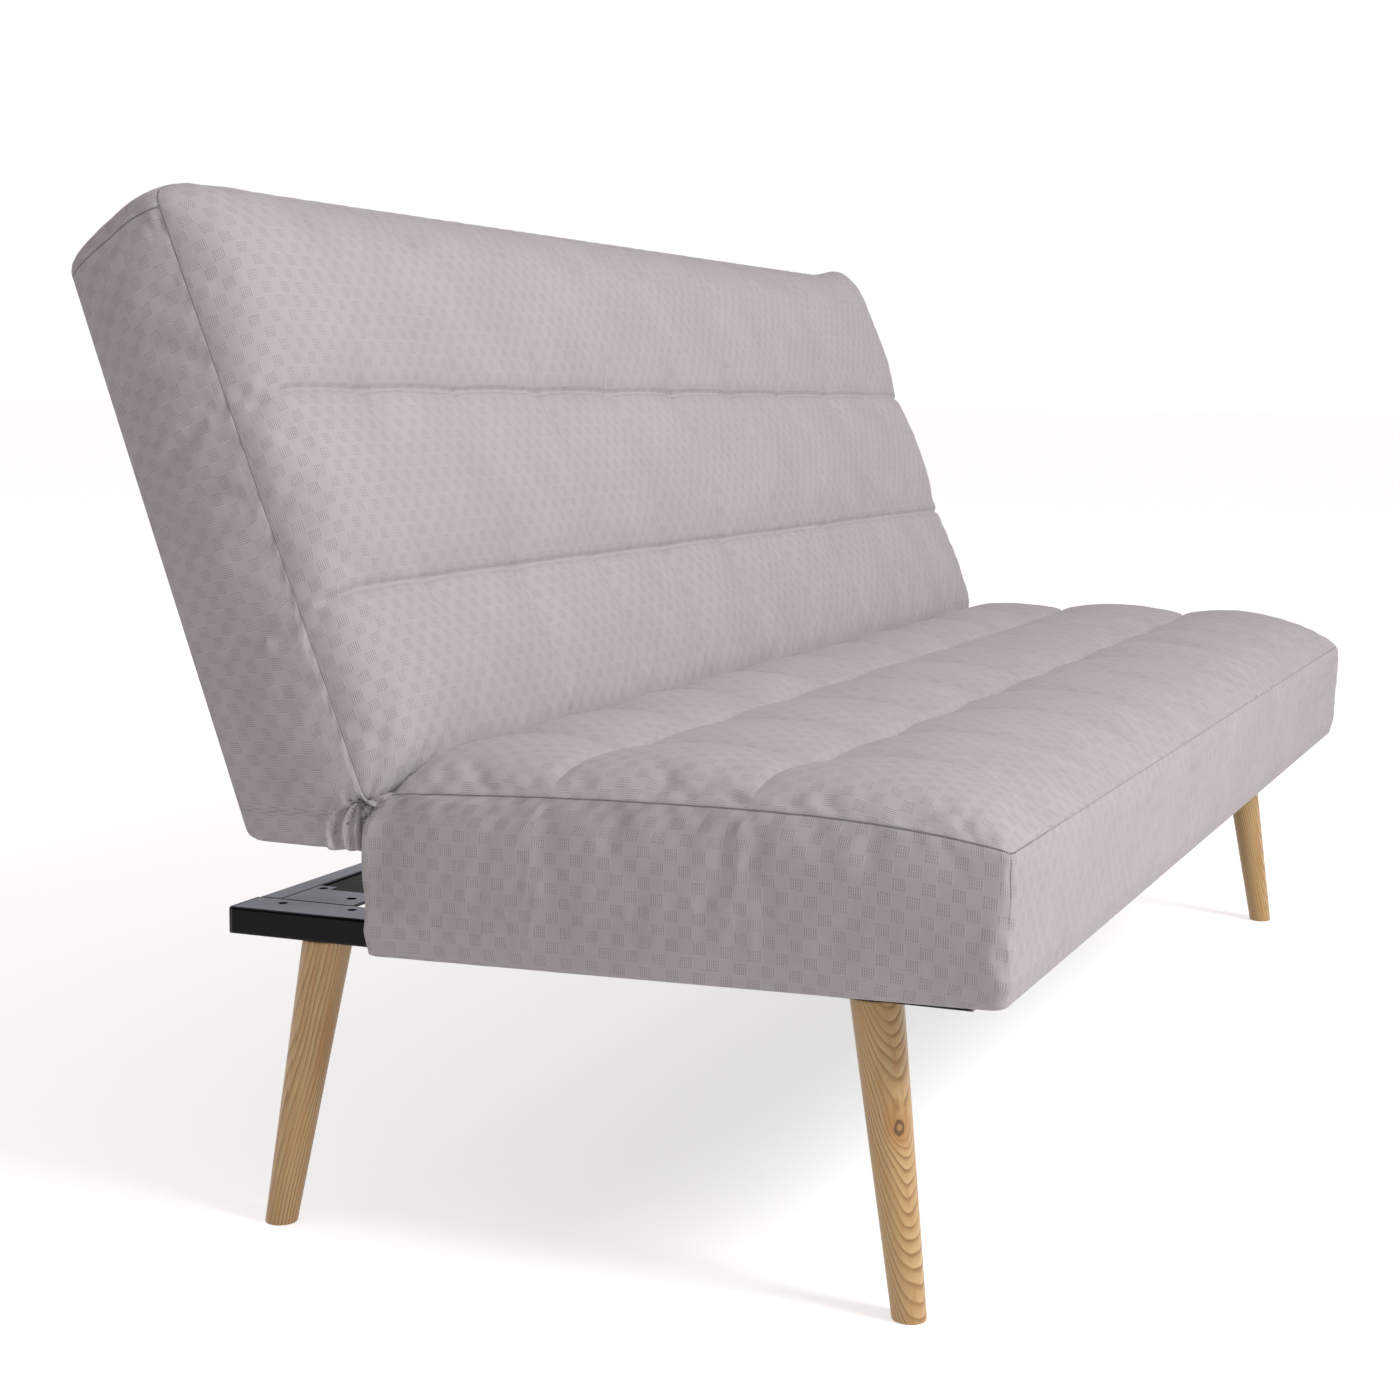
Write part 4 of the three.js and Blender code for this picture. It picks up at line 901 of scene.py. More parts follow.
    def cut(self, step: float, fine: bool) -> "Cover":
        """Works out the cover's grids.

        Args:
            step: how far apart the grid lines are between the seams.
            fine: whether lines are added beside each seam.
        Returns:
            The cover's points, in the cushion's own frame.
        """
        xs = self.lines(self.tufting.columns(), (self.crown_run, self.crown_run), step, fine)
        bs = self.lines(self.rows, self.edge_runs(), step, fine)
        x, b = np.meshgrid(xs, bs, indexing="ij")
        top = np.stack([*self.outline(x, b, 0.0), self.seam + self.top(x, b)], axis=-1)
        last_x, last_b = len(xs) - 1, len(bs) - 1
        ring = np.concatenate(
            [
                np.stack([np.arange(last_x), np.zeros(last_x, int)], 1),
                np.stack([np.full(last_b, last_x), np.arange(last_b)], 1),
                np.stack([last_x - np.arange(last_x), np.full(last_x, last_b)], 1),
                np.stack([np.zeros(last_b, int), last_b - np.arange(last_b)], 1),
            ]
        )
        rx, rb = xs[ring[:, 0]], bs[ring[:, 1]]
        rim = self.rim(rx, rb)
        height = self.side_at(rx, rb)
        shares = self.side_shares()
        if not fine:
            shares = np.append(shares[:-1:2], 1.0)
        rings = [top[ring[:, 0], ring[:, 1]]]
        for share in shares[1:]:
            level = self.seam + rim - share * height
            rings.append(np.stack([*self.outline(rx, rb, share), level], axis=-1))
        ox, ob = self.outline(rx, rb, 1.0)
        middle = (ob.min() + ob.max()) / 2
        low = self.seam + rim - height
        for inset, lift in ((3.0, -1.6), (9.0, -2.0), (self.hem - 8.0, 0.0), (self.hem - 6.0, 3.0)):
            scale_x = 1 - inset / self.tufting.half_length
            scale_b = 1 - inset / ((ob.max() - ob.min()) / 2)
            rings.append(np.stack([ox * scale_x, middle + (ob - middle) * scale_b, low + lift], axis=-1))
        share = (rb - self.rows[0]) / (self.rows[-1] - self.rows[0])
        for half, near, far, level in self.lining():
            wall = [rx / self.tufting.half_length * half, near + share * (far - near), np.full_like(rx, level)]
            rings.append(np.stack(wall, axis=-1))
        return Cover(xs, bs, ring, shares, top, np.stack(rings, axis=1))

    def sew(self, cover: "Cover", name: str) -> tuple[bpy.types.Object, Places]:
        """Makes a closed mesh of a cover.

        Args:
            cover: the cover's points.
            name: the piece's name.
        Returns:
            The piece, and where each of its points lies on the cloth.
        """
        shell = Shell()
        x, b = np.meshgrid(cover.xs, cover.bs, indexing="ij")
        numbers = shell.add(self.placed(cover.top))
        along = walked(cover.top, 0)
        across = walked(cover.top, 1)
        inside = np.minimum(np.minimum(along, along[-1:] - along), np.minimum(across, across[:, -1:] - across))
        middle_x, middle_b = len(cover.xs) // 2, len(cover.bs) // 2
        cloth = np.stack([along - along[middle_x], across - across[:, middle_b : middle_b + 1]], axis=-1)
        shell.skin(numbers, cloth, np.stack([inside, x + b], axis=-1))
        parts = [Places(np.full(x.shape, Places.TOP), x, b, along, across, inside)]
        closed = np.concatenate([cover.side, cover.side[:1]], axis=0)
        down = walked(closed, 1)
        boxed = len(cover.shares)
        walk = np.broadcast_to(walked(closed[:, 3 * boxed // 4][:, None], 0), down.shape)
        last_x, last_b = len(cover.xs) - 1, len(cover.bs) - 1
        corners = walk[[0, last_x, last_x + last_b, 2 * last_x + last_b], 0]
        from_corner = np.min([np.abs(walk - corner) for corner in (*self.corner_seams(corners), 1e4)], axis=0)
        apart = np.minimum(down, from_corner)
        own = shell.add(self.placed(cover.side[:, 1:]))
        border = numbers[cover.ring[:, 0], cover.ring[:, 1]]
        ring_numbers = np.concatenate([border[:, None], own], axis=1)
        ring_numbers = np.concatenate([ring_numbers, ring_numbers[:1]], axis=0)
        shell.skin(
            ring_numbers[:, ::-1],
            np.stack([walk, down], axis=-1)[:, ::-1],
            np.stack([apart, walk], axis=-1)[:, ::-1],
        )
        grid = own.shape
        panel = np.full(grid, Places.BOXING)
        panel[:, boxed + 1 :] = Places.INSIDE
        rx = np.broadcast_to(cover.xs[cover.ring[:, :1]], grid)
        rb = np.broadcast_to(cover.bs[cover.ring[:, 1:]], grid)
        parts.append(Places(panel, rx, rb, walk[:-1, 1:], down[:-1, 1:], apart[:-1, 1:]))
        centre = self.placed(np.array([[0.0, (self.foam[1] + self.foam[2]) / 2, self.foam[3]]]))[0]
        shell.fan(ring_numbers[:-1, -1], centre)
        nought = np.zeros(1)
        parts.append(Places(np.array([Places.INSIDE]), nought, nought, nought, nought, nought + 99.0))
        return shell.make(name), Places.joined(parts)

    def swelling(self, fine: "Cover") -> np.ndarray:
        """How far each point of the fine cover moves when a coarser one is swollen by simulation.

        Args:
            fine: the cover that is shown.
        Returns:
            One move in metres for each point of the sewn fine cover.
        """
        rough = self.cut(self.rough_step, False)
        piece, places = self.sew(rough, self.name + "_rough")
        moved = self.inflation.run(piece, self.held(places))
        mesh = piece.data
        bpy.data.objects.remove(piece)
        bpy.data.meshes.remove(mesh)
        size = len(rough.xs) * len(rough.bs)
        top = moved[:size].reshape(len(rough.xs), len(rough.bs), 3)
        own = moved[size:-1].reshape(len(rough.ring), -1, 3)
        border = top[rough.ring[:, 0], rough.ring[:, 1]]
        side = np.concatenate([border[:, None], own[:, : len(rough.shares) - 1]], axis=1)
        side = np.concatenate([side, side[:1]], axis=0)
        top = carried(carried(top, rough.xs, fine.xs, 0), rough.bs, fine.bs, 1)
        side = carried(carried(side, rough.border_walk(), fine.border_walk()[:-1], 0), rough.shares, fine.shares, 1)
        whole = np.zeros(fine.side[:, 1:].shape)
        whole[:, : len(fine.shares) - 1] = side[:, 1:]
        return np.concatenate([top.reshape(-1, 3), whole.reshape(-1, 3), np.zeros((1, 3))])

    def build(self) -> bpy.types.Object:
        """Builds the closed cover, swells it, and gives it its folds, puckers and grooves.

        Returns:
            The cushion, in its place.
        """
        cover = self.cut(self.step, True)
        piece, places = self.sew(cover, self.name)
        mesh = piece.data
        count = len(mesh.vertices)
        spots = np.empty(count * 3, np.float32)
        mesh.vertices.foreach_get("co", spots)
        spots = spots.reshape(-1, 3).astype(float)
        spots += self.swelling(cover)
        mesh.vertices.foreach_set("co", spots.astype(np.float32).ravel())
        mesh.update()
        normals = np.empty(count * 3, np.float32)
        mesh.vertex_normals.foreach_get("vector", normals)
        shown = np.where(places.panel == Places.INSIDE, 0.0, self.relief(places))
        spots += normals.reshape(-1, 3) * (shown * MM)[:, None]
        spots = self.gathered(spots, places)
        mesh.vertices.foreach_set("co", spots.astype(np.float32).ravel())
        emboss = mesh.attributes.new("emboss", "FLOAT", "POINT")
        emboss.data.foreach_set("value", self.embossed(places).astype(np.float32))
        mesh.update()
        return piece

    def gathered(self, spots: np.ndarray, places: Places) -> np.ndarray:
        """The finished points, in metres: as they are, or with the folds beside the hinge."""
        return spots

    def embossed(self, places: Places) -> np.ndarray:
        """How much of the cloth's dashes shows: all at the ends, less where it is pulled flat and brushed."""
        end = self.tufting.half_length - np.abs(places.x)
        return 0.5 + 0.5 * np.exp(-((end / 110) ** 2))

    def edge_runs(self) -> tuple[float, float]:
        """Over what distance the near and the far edge rise, or 0 where an edge is shallow."""
        raise NotImplementedError

    def corner_seams(self, corners: np.ndarray) -> list[float]:
        """The corners, by their place along the border, that have an upright seam."""
        return []

    def side_shares(self) -> np.ndarray:
        """The shares of the boxing's height at which it has a ring, closest beside the seam and the hem."""
        return np.array(
            [0, 0.012, 0.028, 0.05, 0.08, 0.115, 0.155, 0.2, 0.25, 0.3, 0.35, 0.4, 0.45, 0.5, 0.55, 0.6, 0.65, 0.7]
            + [0.75, 0.8, 0.85, 0.89, 0.925, 0.955, 0.98, 1.0]
        )

    def lining(self) -> list[tuple[float, float, float, float]]:
        """The rings of the room inside for the frame, the deck and the foam: half length, near, far and level."""
        half, near, far, level, roof = self.room
        return [(half, near, far, level), (half, near, far, roof), (*self.foam[:3], roof), self.foam]

    def near_tuft(self, x: np.ndarray) -> np.ndarray:
        """How far each place lies from the nearest column of tufts, to the right of it where positive."""
        tufts = self.tufting.tufts()
        return x - tufts[np.argmin(np.abs(x[:, None] - tufts[None]), axis=1)]

    def add(self, paints: Paintbox) -> bpy.types.Object:
        piece = self.build()
        paints.dress(piece, Finish.cover_fabric)
        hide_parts(self.node)
        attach(piece, self.body)
        return piece


@dataclass
class SeatCushion(Cushion):
    """The seat, whose rear face passes the back's rolled edge."""

    hinge: tuple[float, float] = (0.0, 0.0)
    front: float = 590.0
    depth: float = 562.0
    heel: float = 579.0
    front_run: float = 180.0
    front_fall: float = 8.0
    end_arch: float = 11.0
    arch_run: float = 260.0
    hem_drop: tuple[float, float] = (-1.0, 9.0)
    horn: float = 874.0
    hinge_run: float = 34.0
    hinge_corner: float = 6.0
    rear_opening: float = 864.0
    rear_side: float = 117.5

    def rises(self, x: np.ndarray, b: np.ndarray) -> np.ndarray:
        """Quarter circles at the ends, the front and beside the hinge."""
        ends = edge_rise(self.tufting.half_length - np.abs(x), self.crown_run)
        return ends * edge_rise(b, self.front_run) * edge_rise(self.rows[-1] - b, self.hinge_run)

    def edge_runs(self) -> tuple[float, float]:
        """The front rises over a long way, the rear steeply."""
        return self.front_run, self.hinge_run

    def rim(self, x: np.ndarray, b: np.ndarray) -> np.ndarray:
        """The front seam lies lower, and the end seams arch up between their corners."""
        arch = np.sin(np.pi * np.clip(b / self.rows[-1], 0, 1) ** 0.85) ** 0.8
        near_end = 1 - ease_in(self.tufting.half_length - np.abs(x), self.arch_run)
        return self.end_arch * arch * near_end - self.front_fall * (1 - ease_in(b, self.front_run))

    def crease_share(self, b: np.ndarray) -> np.ndarray:
        """Creases fade before the front seam."""
        return self.crease * (0.3 + 0.7 * smooth(40, 170, b))

    def outline(self, x: np.ndarray, b: np.ndarray, share: float) -> tuple[np.ndarray, np.ndarray]:
        """The ends swell a little and turn in at the hem, and the rear runs back to the heel.

        At both ends, beside the hinge plates, the rear reaches back to the gathered cloth over the hinge.
        """
        places = [0, 0.04, 0.1, 0.18, 0.28, 0.56, 0.85, 1]
        inset = float(np.interp(share, places, [self.seam_sink, -0.6, -1.3, -1.5, -1.5, 0, 1.5, 6]))
        rear = self.rows[-1]
        depth, heel = self.depth, self.heel
        middle = float(np.interp(share, places, [rear, rear + 7, depth, depth, depth, heel - 1.5, heel, heel - 3]))
        horned = [rear, rear + 10, rear + 18, heel - 3, heel - 1.5, heel - 1.5, heel - 1, heel - 4]
        at_end = smooth(self.horn, self.horn + 10, np.abs(x))
        far = middle + (float(np.interp(share, places, horned)) - middle) * at_end
        return self.rounded(x, b, self.tufting.half_length - inset, inset, far)

    def side_at(self, x: np.ndarray, b: np.ndarray) -> np.ndarray:
        """From the seam to a hem that hangs lower to the rear, and is lifted behind, where the base passes."""
        share = b / self.rows[-1]
        hem = self.side + self.hem_drop[0] + (self.hem_drop[1] - self.hem_drop[0]) * share
        rear = smooth(self.rows[-1] - 3, self.rows[-1], b) * (1 - smooth(self.rear_opening, 886, np.abs(x)))
        return hem + (self.rear_side - hem) * rear + self.rim(x, b)

    def corner_seams(self, corners: np.ndarray) -> list[float]:
        """Upright seams at the two front corners, just on the front's side."""
        return [corners[0] + self.corner * 0.8, corners[1] - self.corner * 0.8]

    def held(self, places: Places) -> np.ndarray:
        """Firm at seams, tufts, hem and the hinge side, looser on the rows of stitches, free between."""
        row = np.min([np.abs(places.b - row) for row in self.rows[1:-1]], axis=0)
        tuft = np.hypot(self.near_tuft(places.x), row)
        on_top = 0.85 * (places.seam < 2.0) + 0.9 * (tuft < 4.0) + 0.5 * (row < 1.0)
        on_top = np.maximum(on_top, smooth(self.rows[-1] - 50, self.rows[-1] - 5, places.b))
        on_side = np.maximum(smooth(95, 128, places.down), 0.85 * (places.seam < 2.0))
        on_side = np.maximum(on_side, smooth(self.rows[-1] - 30, self.rows[-1] - 2, places.b))
        on_side = np.maximum(on_side, np.where(places.b < 3, 0.35, 0.15))
        held = np.where(places.panel == Places.TOP, on_top, on_side)
        return np.clip(np.where(places.panel == Places.INSIDE, 1.0, held + 0.03), 0, 1)

    def relief(self, places: Places) -> np.ndarray:
        """Grooves on the rows, puckers along the seams, long creases in the front row, folds down the ends."""
        x, b = places.x, places.b
        row = np.min([np.abs(b - row) for row in self.rows[1:-1]], axis=0)
        tuft_x = self.near_tuft(x)
        tuft = np.hypot(tuft_x, row)
        from_end = np.minimum(places.walk, places.walk.max() - places.walk)
        end = self.tufting.half_length - np.abs(x)
        groove = -2.2 * np.exp(-((row / 3.2) ** 2)) * smooth(0, 40, end) - 4.0 * np.exp(-((tuft / 9) ** 2))
        pucker = 1.5 * ripples(b, 27, self.seed) * np.exp(-end / 38) * smooth(0, 12, end)
        front_crease = ripples(x + 0.2 * b, 44, self.seed + 3) * smooth(25, 100, b) * smooth(216, 185, b)
        waves = 1.1 * cloud(x, b, (70, 110), self.seed + 5) + 0.5 * cloud(x, b, (31, 60), self.seed + 6)
        drape = 4.5 * fan(end + 4, self.rows[-1] + 16 - b, 24.0, self.seed + 13)
        drawn = 2.6 * (0.35 + 0.65 * smooth(-300, 400, x)) * np.maximum(front_crease, 0) ** 1.6
        top = groove + pucker - drawn + waves * smooth(0, 30, places.seam) + drape
        walk, down = places.walk, places.down
        at_end = smooth(3, 12, b) * (end < 20)
        rear = smooth(60, 330, b)
        lean = walk + 0.22 * down
        hanging = 2.6 * np.exp(-down / 42) + 1.7 * smooth(55, 105, down)
        folds = pleats(lean, 27, self.seed + 8) * hanging * rear
        folds += 1.3 * cloud(lean, down, (34, 120), self.seed + 9) * rear
        soft = 0.9 * cloud(walk, down, (90, 70), self.seed + 10)
        scallop = 0.9 * ripples(down, 11, self.seed + 12) * np.exp(-places.seam / 6) * (b < 3) * smooth(8, 20, down)
        knotted = 4.0 * fan(self.rows[-1] - b + 4, down + 3, 20.0, self.seed + 14) * (end < 20)
        side = ((folds * at_end + soft) * smooth(1, 14, places.seam) + scallop) * self.calm(places) + knotted
        return np.where(places.panel == Places.TOP, top, side)

    def placed(self, points: np.ndarray) -> np.ndarray:
        """Moves the front seam to its place in front of the hinge."""
        return points + np.array([0.0, self.hinge[0] - self.front, 0.0])


@dataclass
class BackCushion(Cushion):
    """The back, worked out lying flat from the hinge axis and then turned up to sit."""

    hinge: tuple[float, float] = (0.0, 0.0)
    sitting: float = 68.5
    roll: float = 24.0
    top_side: float = 110.0
    top_roll: float = 2.0
    top_pull: float = 21.0
    top_bow: float = 14.0
    bow_run: float = 60.0
    top_puff: tuple[float, float] = (-5.0, 13.0)
    puff_run: float = 22.0
    near_run: float = 54.0
    top_run: float = 62.0
    heel_setback: float = 2.0
    tuck: float = 30.0
    lip: tuple[float, float] = (9.0, 16.0)
    open_lip: tuple[float, float] = (22.0, 29.0)
    lipped: tuple[float, float, float, float] = (-128.0, -112.0, 34.0, 50.0)
    over_rail: tuple[float, float, float, float] = (784.0, 807.0, 877.0, 893.0)
    rail_lift: float = 13.5

    def rises(self, x: np.ndarray, b: np.ndarray) -> np.ndarray:
        """Quarter circles at the ends, at the top and beside the hinge."""
        ends = edge_rise(self.tufting.half_length - np.abs(x), self.crown_run)
        return ends * edge_rise(b, self.near_run) * edge_rise(self.rows[-1] - b, self.top_run)

    def edge_runs(self) -> tuple[float, float]:
        """Both long edges rise steeply."""
        return self.near_run, self.top_run

    def crease_share(self, b: np.ndarray) -> np.ndarray:
        """Faint creases between the tufts, fainter above the upper row."""
        return self.crease * (1 - 0.8 * smooth(self.rows[2] - 20, self.rows[2] + 40, b))

    def side_shares(self) -> np.ndarray:
        """Equal steps round the roll's circle, and then equal steps down to the hem."""
        turn = np.linspace(0, 1, 23) * np.radians(90 + self.sitting)
        on_roll = self.roll * (1 - np.cos(turn)) / self.side
        return np.concatenate([on_roll, np.linspace(on_roll[-1], 1, 16)[1:]])

    def outline(self, x: np.ndarray, b: np.ndarray, share: float) -> tuple[np.ndarray, np.ndarray]:
        """The near side is rolled round the hinge and then runs level to the heel when sitting.

        The top end swells past its seam, bows out between its corners and is pulled in at the rear. The
        ends are drawn in round the hinge axis, where the gathered cloth and, as the back turns, the seat's
        rear edge need the room: close to the axis behind it, wider before and below it.
        """
        places = [0, 0.03, 0.08, 0.26, 0.6, 0.9, 1]
        inset = float(np.interp(share, places, [self.seam_sink, -0.6, -1.4, -1.5, 0, 1.5, 6]))
        level = self.roll - share * self.side
        roll_end = -np.radians(90 + self.sitting)
        if level > self.roll * np.sin(roll_end):
            near = -np.sqrt(max(self.roll**2 - level**2, 0))
        else:
            near = (self.roll - level * np.sin(roll_end)) / np.cos(roll_end)
        near += self.heel_setback * float(smooth(0.95, 1, np.array(share)))
        length = self.rows[-1]
        swell = self.top_roll * np.sin(np.pi * min(share * 2, 1))
        far = length + swell - self.top_pull * share**2
        px, pb = self.rounded(x, b, self.tufting.half_length - inset, near, far)
        end = self.tufting.half_length - np.abs(x)
        bow = self.top_bow * (b / length) * ease_in(end, self.bow_run)
        if share == 0:
            inside = length - b
            puff = np.where(x < 0, *self.top_puff) * edge_rise(inside, self.puff_run) * smooth(110, 30, inside)
            bow += puff * edge_rise(end, self.puff_run) * smooth(110, 40, end)
        around = np.degrees(np.arctan2(level, pb))
        closed = smooth(*self.lipped[:2], around) * (1 - smooth(*self.lipped[2:], around))
        inner, outer = (wide + (narrow - wide) * closed for wide, narrow in zip(self.open_lip, self.lip))
        share_out = np.clip((np.hypot(pb, level) - inner) / (outer - inner), 0, 1)
        drawn = self.tuck * (1 - edge_rise(share_out, 1.0))
        return px * (1 - drawn / self.tufting.half_length), pb + bow

    def corner_seams(self, corners: np.ndarray) -> list[float]:
        """Seams down the two top corners, on the ends' side."""
        return [corners[2] - self.corner, corners[3] + self.corner]

    def side_at(self, x: np.ndarray, b: np.ndarray) -> np.ndarray:
        """Thinner towards the top end, and lifted beside the hinge over the base's end rails, for lying flat."""
        start, whole, last, stop = self.over_rail
        out = np.abs(x)
        lifted = smooth(start, whole, out) * (1 - smooth(last, stop, out)) * (b <= self.rows[0])
        return self.side + (b / self.rows[-1]) * (self.top_side - self.side) - self.rail_lift * lifted

    def held(self, places: Places) -> np.ndarray:
        """Firm at seams, tufts, hem and the roll, looser on the rows of stitches, free between."""
        row = np.min([np.abs(places.b - row) for row in self.rows[1:-1]], axis=0)
        tuft = np.hypot(self.near_tuft(places.x), row)
        on_top = 0.85 * (places.seam < 2.0) + 0.3 * (tuft < 4.0) + 0.4 * (row < 1.0)
        on_top = np.maximum(on_top, smooth(60, 10, places.b))
        on_side = np.maximum(smooth(80, 108, places.down), 0.85 * (places.seam < 2.0))
        on_side = np.maximum(on_side, 0.12)
        on_side = np.maximum(on_side, smooth(60, 10, places.b))
        held = np.where(places.panel == Places.TOP, on_top, on_side)
        return np.clip(np.where(places.panel == Places.INSIDE, 1.0, held + 0.03), 0, 1)

    def relief(self, places: Places) -> np.ndarray:
        """Grooves on the rows, puckers along the end seams, slanting folds on the ends, drapes at the hinge."""
        x, b = places.x, places.b
        row = np.min([np.abs(b - row) for row in self.rows[1:-1]], axis=0)
        tuft_x = self.near_tuft(x)
        tuft = np.hypot(tuft_x, row)
        end = self.tufting.half_length - np.abs(x)
        groove = -2.6 * np.exp(-((row / 3.0) ** 2)) * smooth(0, 12, end) - 3.5 * np.exp(-((tuft / 8) ** 2))
        pucker = 1.3 * ripples(b, 23, self.seed) * np.exp(-end / 30) * smooth(0, 10, end)
        waves = 1.0 * cloud(x, b, (60, 130), self.seed + 5) + 0.45 * cloud(x, b, (27, 70), self.seed + 6)
        lift = smooth(20, 70, b)
        from_row = b - np.array(self.rows)[1 + np.argmin(np.abs(b[:, None] - np.array(self.rows[1:-1])[None]), axis=1)]
        bend = tuft_x - 0.006 * from_row**2 * np.sign(-from_row)
        curl = -1.6 * np.exp(-((bend / 6) ** 2)) * smooth(2, 12, np.abs(from_row)) * smooth(70, 15, np.abs(from_row))
        drape = 8.0 * fan(end + 5, b + 12, 26.0, self.seed + 13)
        top = groove + curl + (pucker + waves) * smooth(0, 25, places.seam) * lift + drape
        walk, down = places.walk, places.down
        slant = b + 0.3 * down
        at_end = (end < 20) * smooth(10, 50, b) * smooth(569, 540, b)
        folds = 1.4 * cloud(slant, down, (26, 70), self.seed + 8)
        folds += 1.3 * ripples(slant, 30, self.seed + 9) * smooth(10, 60, down)
        side = (folds * at_end + 0.8 * cloud(walk, down, (80, 60), self.seed + 10) * lift) * smooth(1, 14, places.seam)
        side = side * self.calm(places)
        return np.where(places.panel == Places.TOP, top, side)

    def gathered(self, spots: np.ndarray, places: Places) -> np.ndarray:
        """Moves the ends' points in and out along X by the crescent folds beside the hinge."""
        behind, above = (spots[:, axis + 1] / MM - self.hinge[axis] for axis in (0, 1))
        on_end = (places.panel == Places.BOXING) & (self.tufting.half_length - np.abs(places.x) < 20)
        folds = crescent_folds(behind, above) * smooth(1, 12, places.seam) * self.calm(places)
        spots[:, 0] += np.where(on_end, np.sign(places.x) * folds * MM, 0)
        return spots

    def placed(self, points: np.ndarray) -> np.ndarray:
        """Turns the flat back up about the hinge axis."""
        turn = np.radians(self.sitting)
        x, u, n = points[..., 0], points[..., 1], points[..., 2]
        y = self.hinge[0] + u * np.cos(turn) - n * np.sin(turn)
        z = self.hinge[1] + u * np.sin(turn) + n * np.cos(turn)
        return np.stack([x, y, z], axis=-1)


@dataclass
class HingeGather:
    """The cover drawn together over one end of the hinge, in crescent folds, against the seat's rear edge."""

    hinge: tuple[float, float]
    side: int
    radius: float = 23.6
    low: float = 25.0
    widest: float = 31.0
    front: float = 12.6
    start: float = 873.2
    face: float = 901.6
    sunk: float = 8.0
    rim_depth: float = 9.0
    rim_run: float = 6.0
    notch: tuple[float, float, float] = (147.0, 13.0, 34.0)
    notch_depth: float = 3.5

    def outline(self, spin: np.ndarray) -> np.ndarray:
        """How far the gather reaches in each direction.

        It is wider below the back's end, cut off at the seat, and fills the notch over the seat's rear corner.
        """
        degrees = np.degrees((spin + np.pi) % (2 * np.pi) - np.pi)
        below = np.minimum(self.low / np.maximum(-np.sin(spin), 1e-3), self.widest)
        wide = self.radius + (below - self.radius) * np.where(degrees < 0, smooth(-30, -42, degrees), 0)
        towards, spread, reach = self.notch
        lobe = reach * np.exp(-(((degrees - towards) / spread) ** 2))
        return np.minimum(wide, self.front / np.maximum(-np.cos(spin), 1e-3)) + lobe

    def build(self) -> bpy.types.Object:
        """A disc with a wall behind its rim.

        The face carries the crescent folds that go on over the back's end. Behind the axis it sinks away under
        the back's end, and elsewhere it falls to its rim along a quarter circle.
        """
        shell = Shell()
        turn = np.linspace(0, 2 * np.pi, 181)[:-1]
        share = 1 - np.linspace(0, 1, 36)[:-1] ** 1.2
        spin, part = np.meshgrid(turn, share, indexing="ij")
        degrees = np.degrees((spin + np.pi) % (2 * np.pi) - np.pi)
        reach = self.outline(spin) * part
        behind, above = reach * np.cos(spin), reach * np.sin(spin)
        covered = smooth(-42, -31, degrees) * (1 - smooth(94, 103, degrees))
        to_rim = np.clip(self.outline(spin) * (1 - part) / self.rim_run, 0, 1)
        out = self.face + crescent_folds(behind, above) - self.sunk * smooth(14, 20, reach) * covered
        in_notch = smooth(2, 14, 0.96 * (-11 - behind) + 0.28 * (above - 20)) * (above > 0)
        across = 0.28 * (behind + 11) + 0.96 * (above - 20)
        out += in_notch * (1.6 * ripples(across + 0.1 * behind, 8, 47) - self.notch_depth)
        beside_seat = (behind > -self.front * 0.9) | (above > 8)
        out -= self.rim_depth * (1 - edge_rise(to_rim, 1.0)) * (1 - covered) * beside_seat
        face = np.stack([self.side * out, self.hinge[0] + behind, self.hinge[1] + above], axis=-1)
        wall = np.repeat(face[:, :1], 2, axis=1)
        wall[:, 0, 0] = self.side * self.start
        wall[:, 1, 0] = self.side * (self.start + 2)
        points = np.concatenate([wall, face], axis=1)
        numbers = shell.add(points)
        closed = np.concatenate([numbers, numbers[:1]], axis=0)
        flat = np.concatenate([wall[..., 1:], face[..., 1:]], axis=1)
        flat = np.concatenate([flat, flat[:1]], axis=0)
        seam = np.full(flat.shape, 50.0)
        inner = np.array([self.side * self.start, *self.hinge])
        outer = np.array([self.side * float(out[:, -1].mean()), *self.hinge])
        first, last = numbers[:, 0], numbers[:, -1]
        if self.side < 0:
            shell.skin(closed[::-1], flat[::-1], seam)
            shell.fan(first[::-1], inner)
            shell.fan(last, outer)
        else:
            shell.skin(closed, flat, seam)
            shell.fan(first, inner)
            shell.fan(last[::-1], outer)
        return shell.make(f"hinge_gather_cloth_{'left' if self.side < 0 else 'right'}")

    def add(self, paints: Paintbox) -> bpy.types.Object:
        piece = self.build()
        emboss = piece.data.attributes.new("emboss", "FLOAT", "POINT")
        emboss.data.foreach_set("value", np.ones(len(piece.data.vertices), np.float32))
        paints.dress(piece, Finish.cover_fabric)
        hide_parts(f"hinge_gather_{'left' if self.side < 0 else 'right'}")
        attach(piece, "base_and_seat")
        return piece


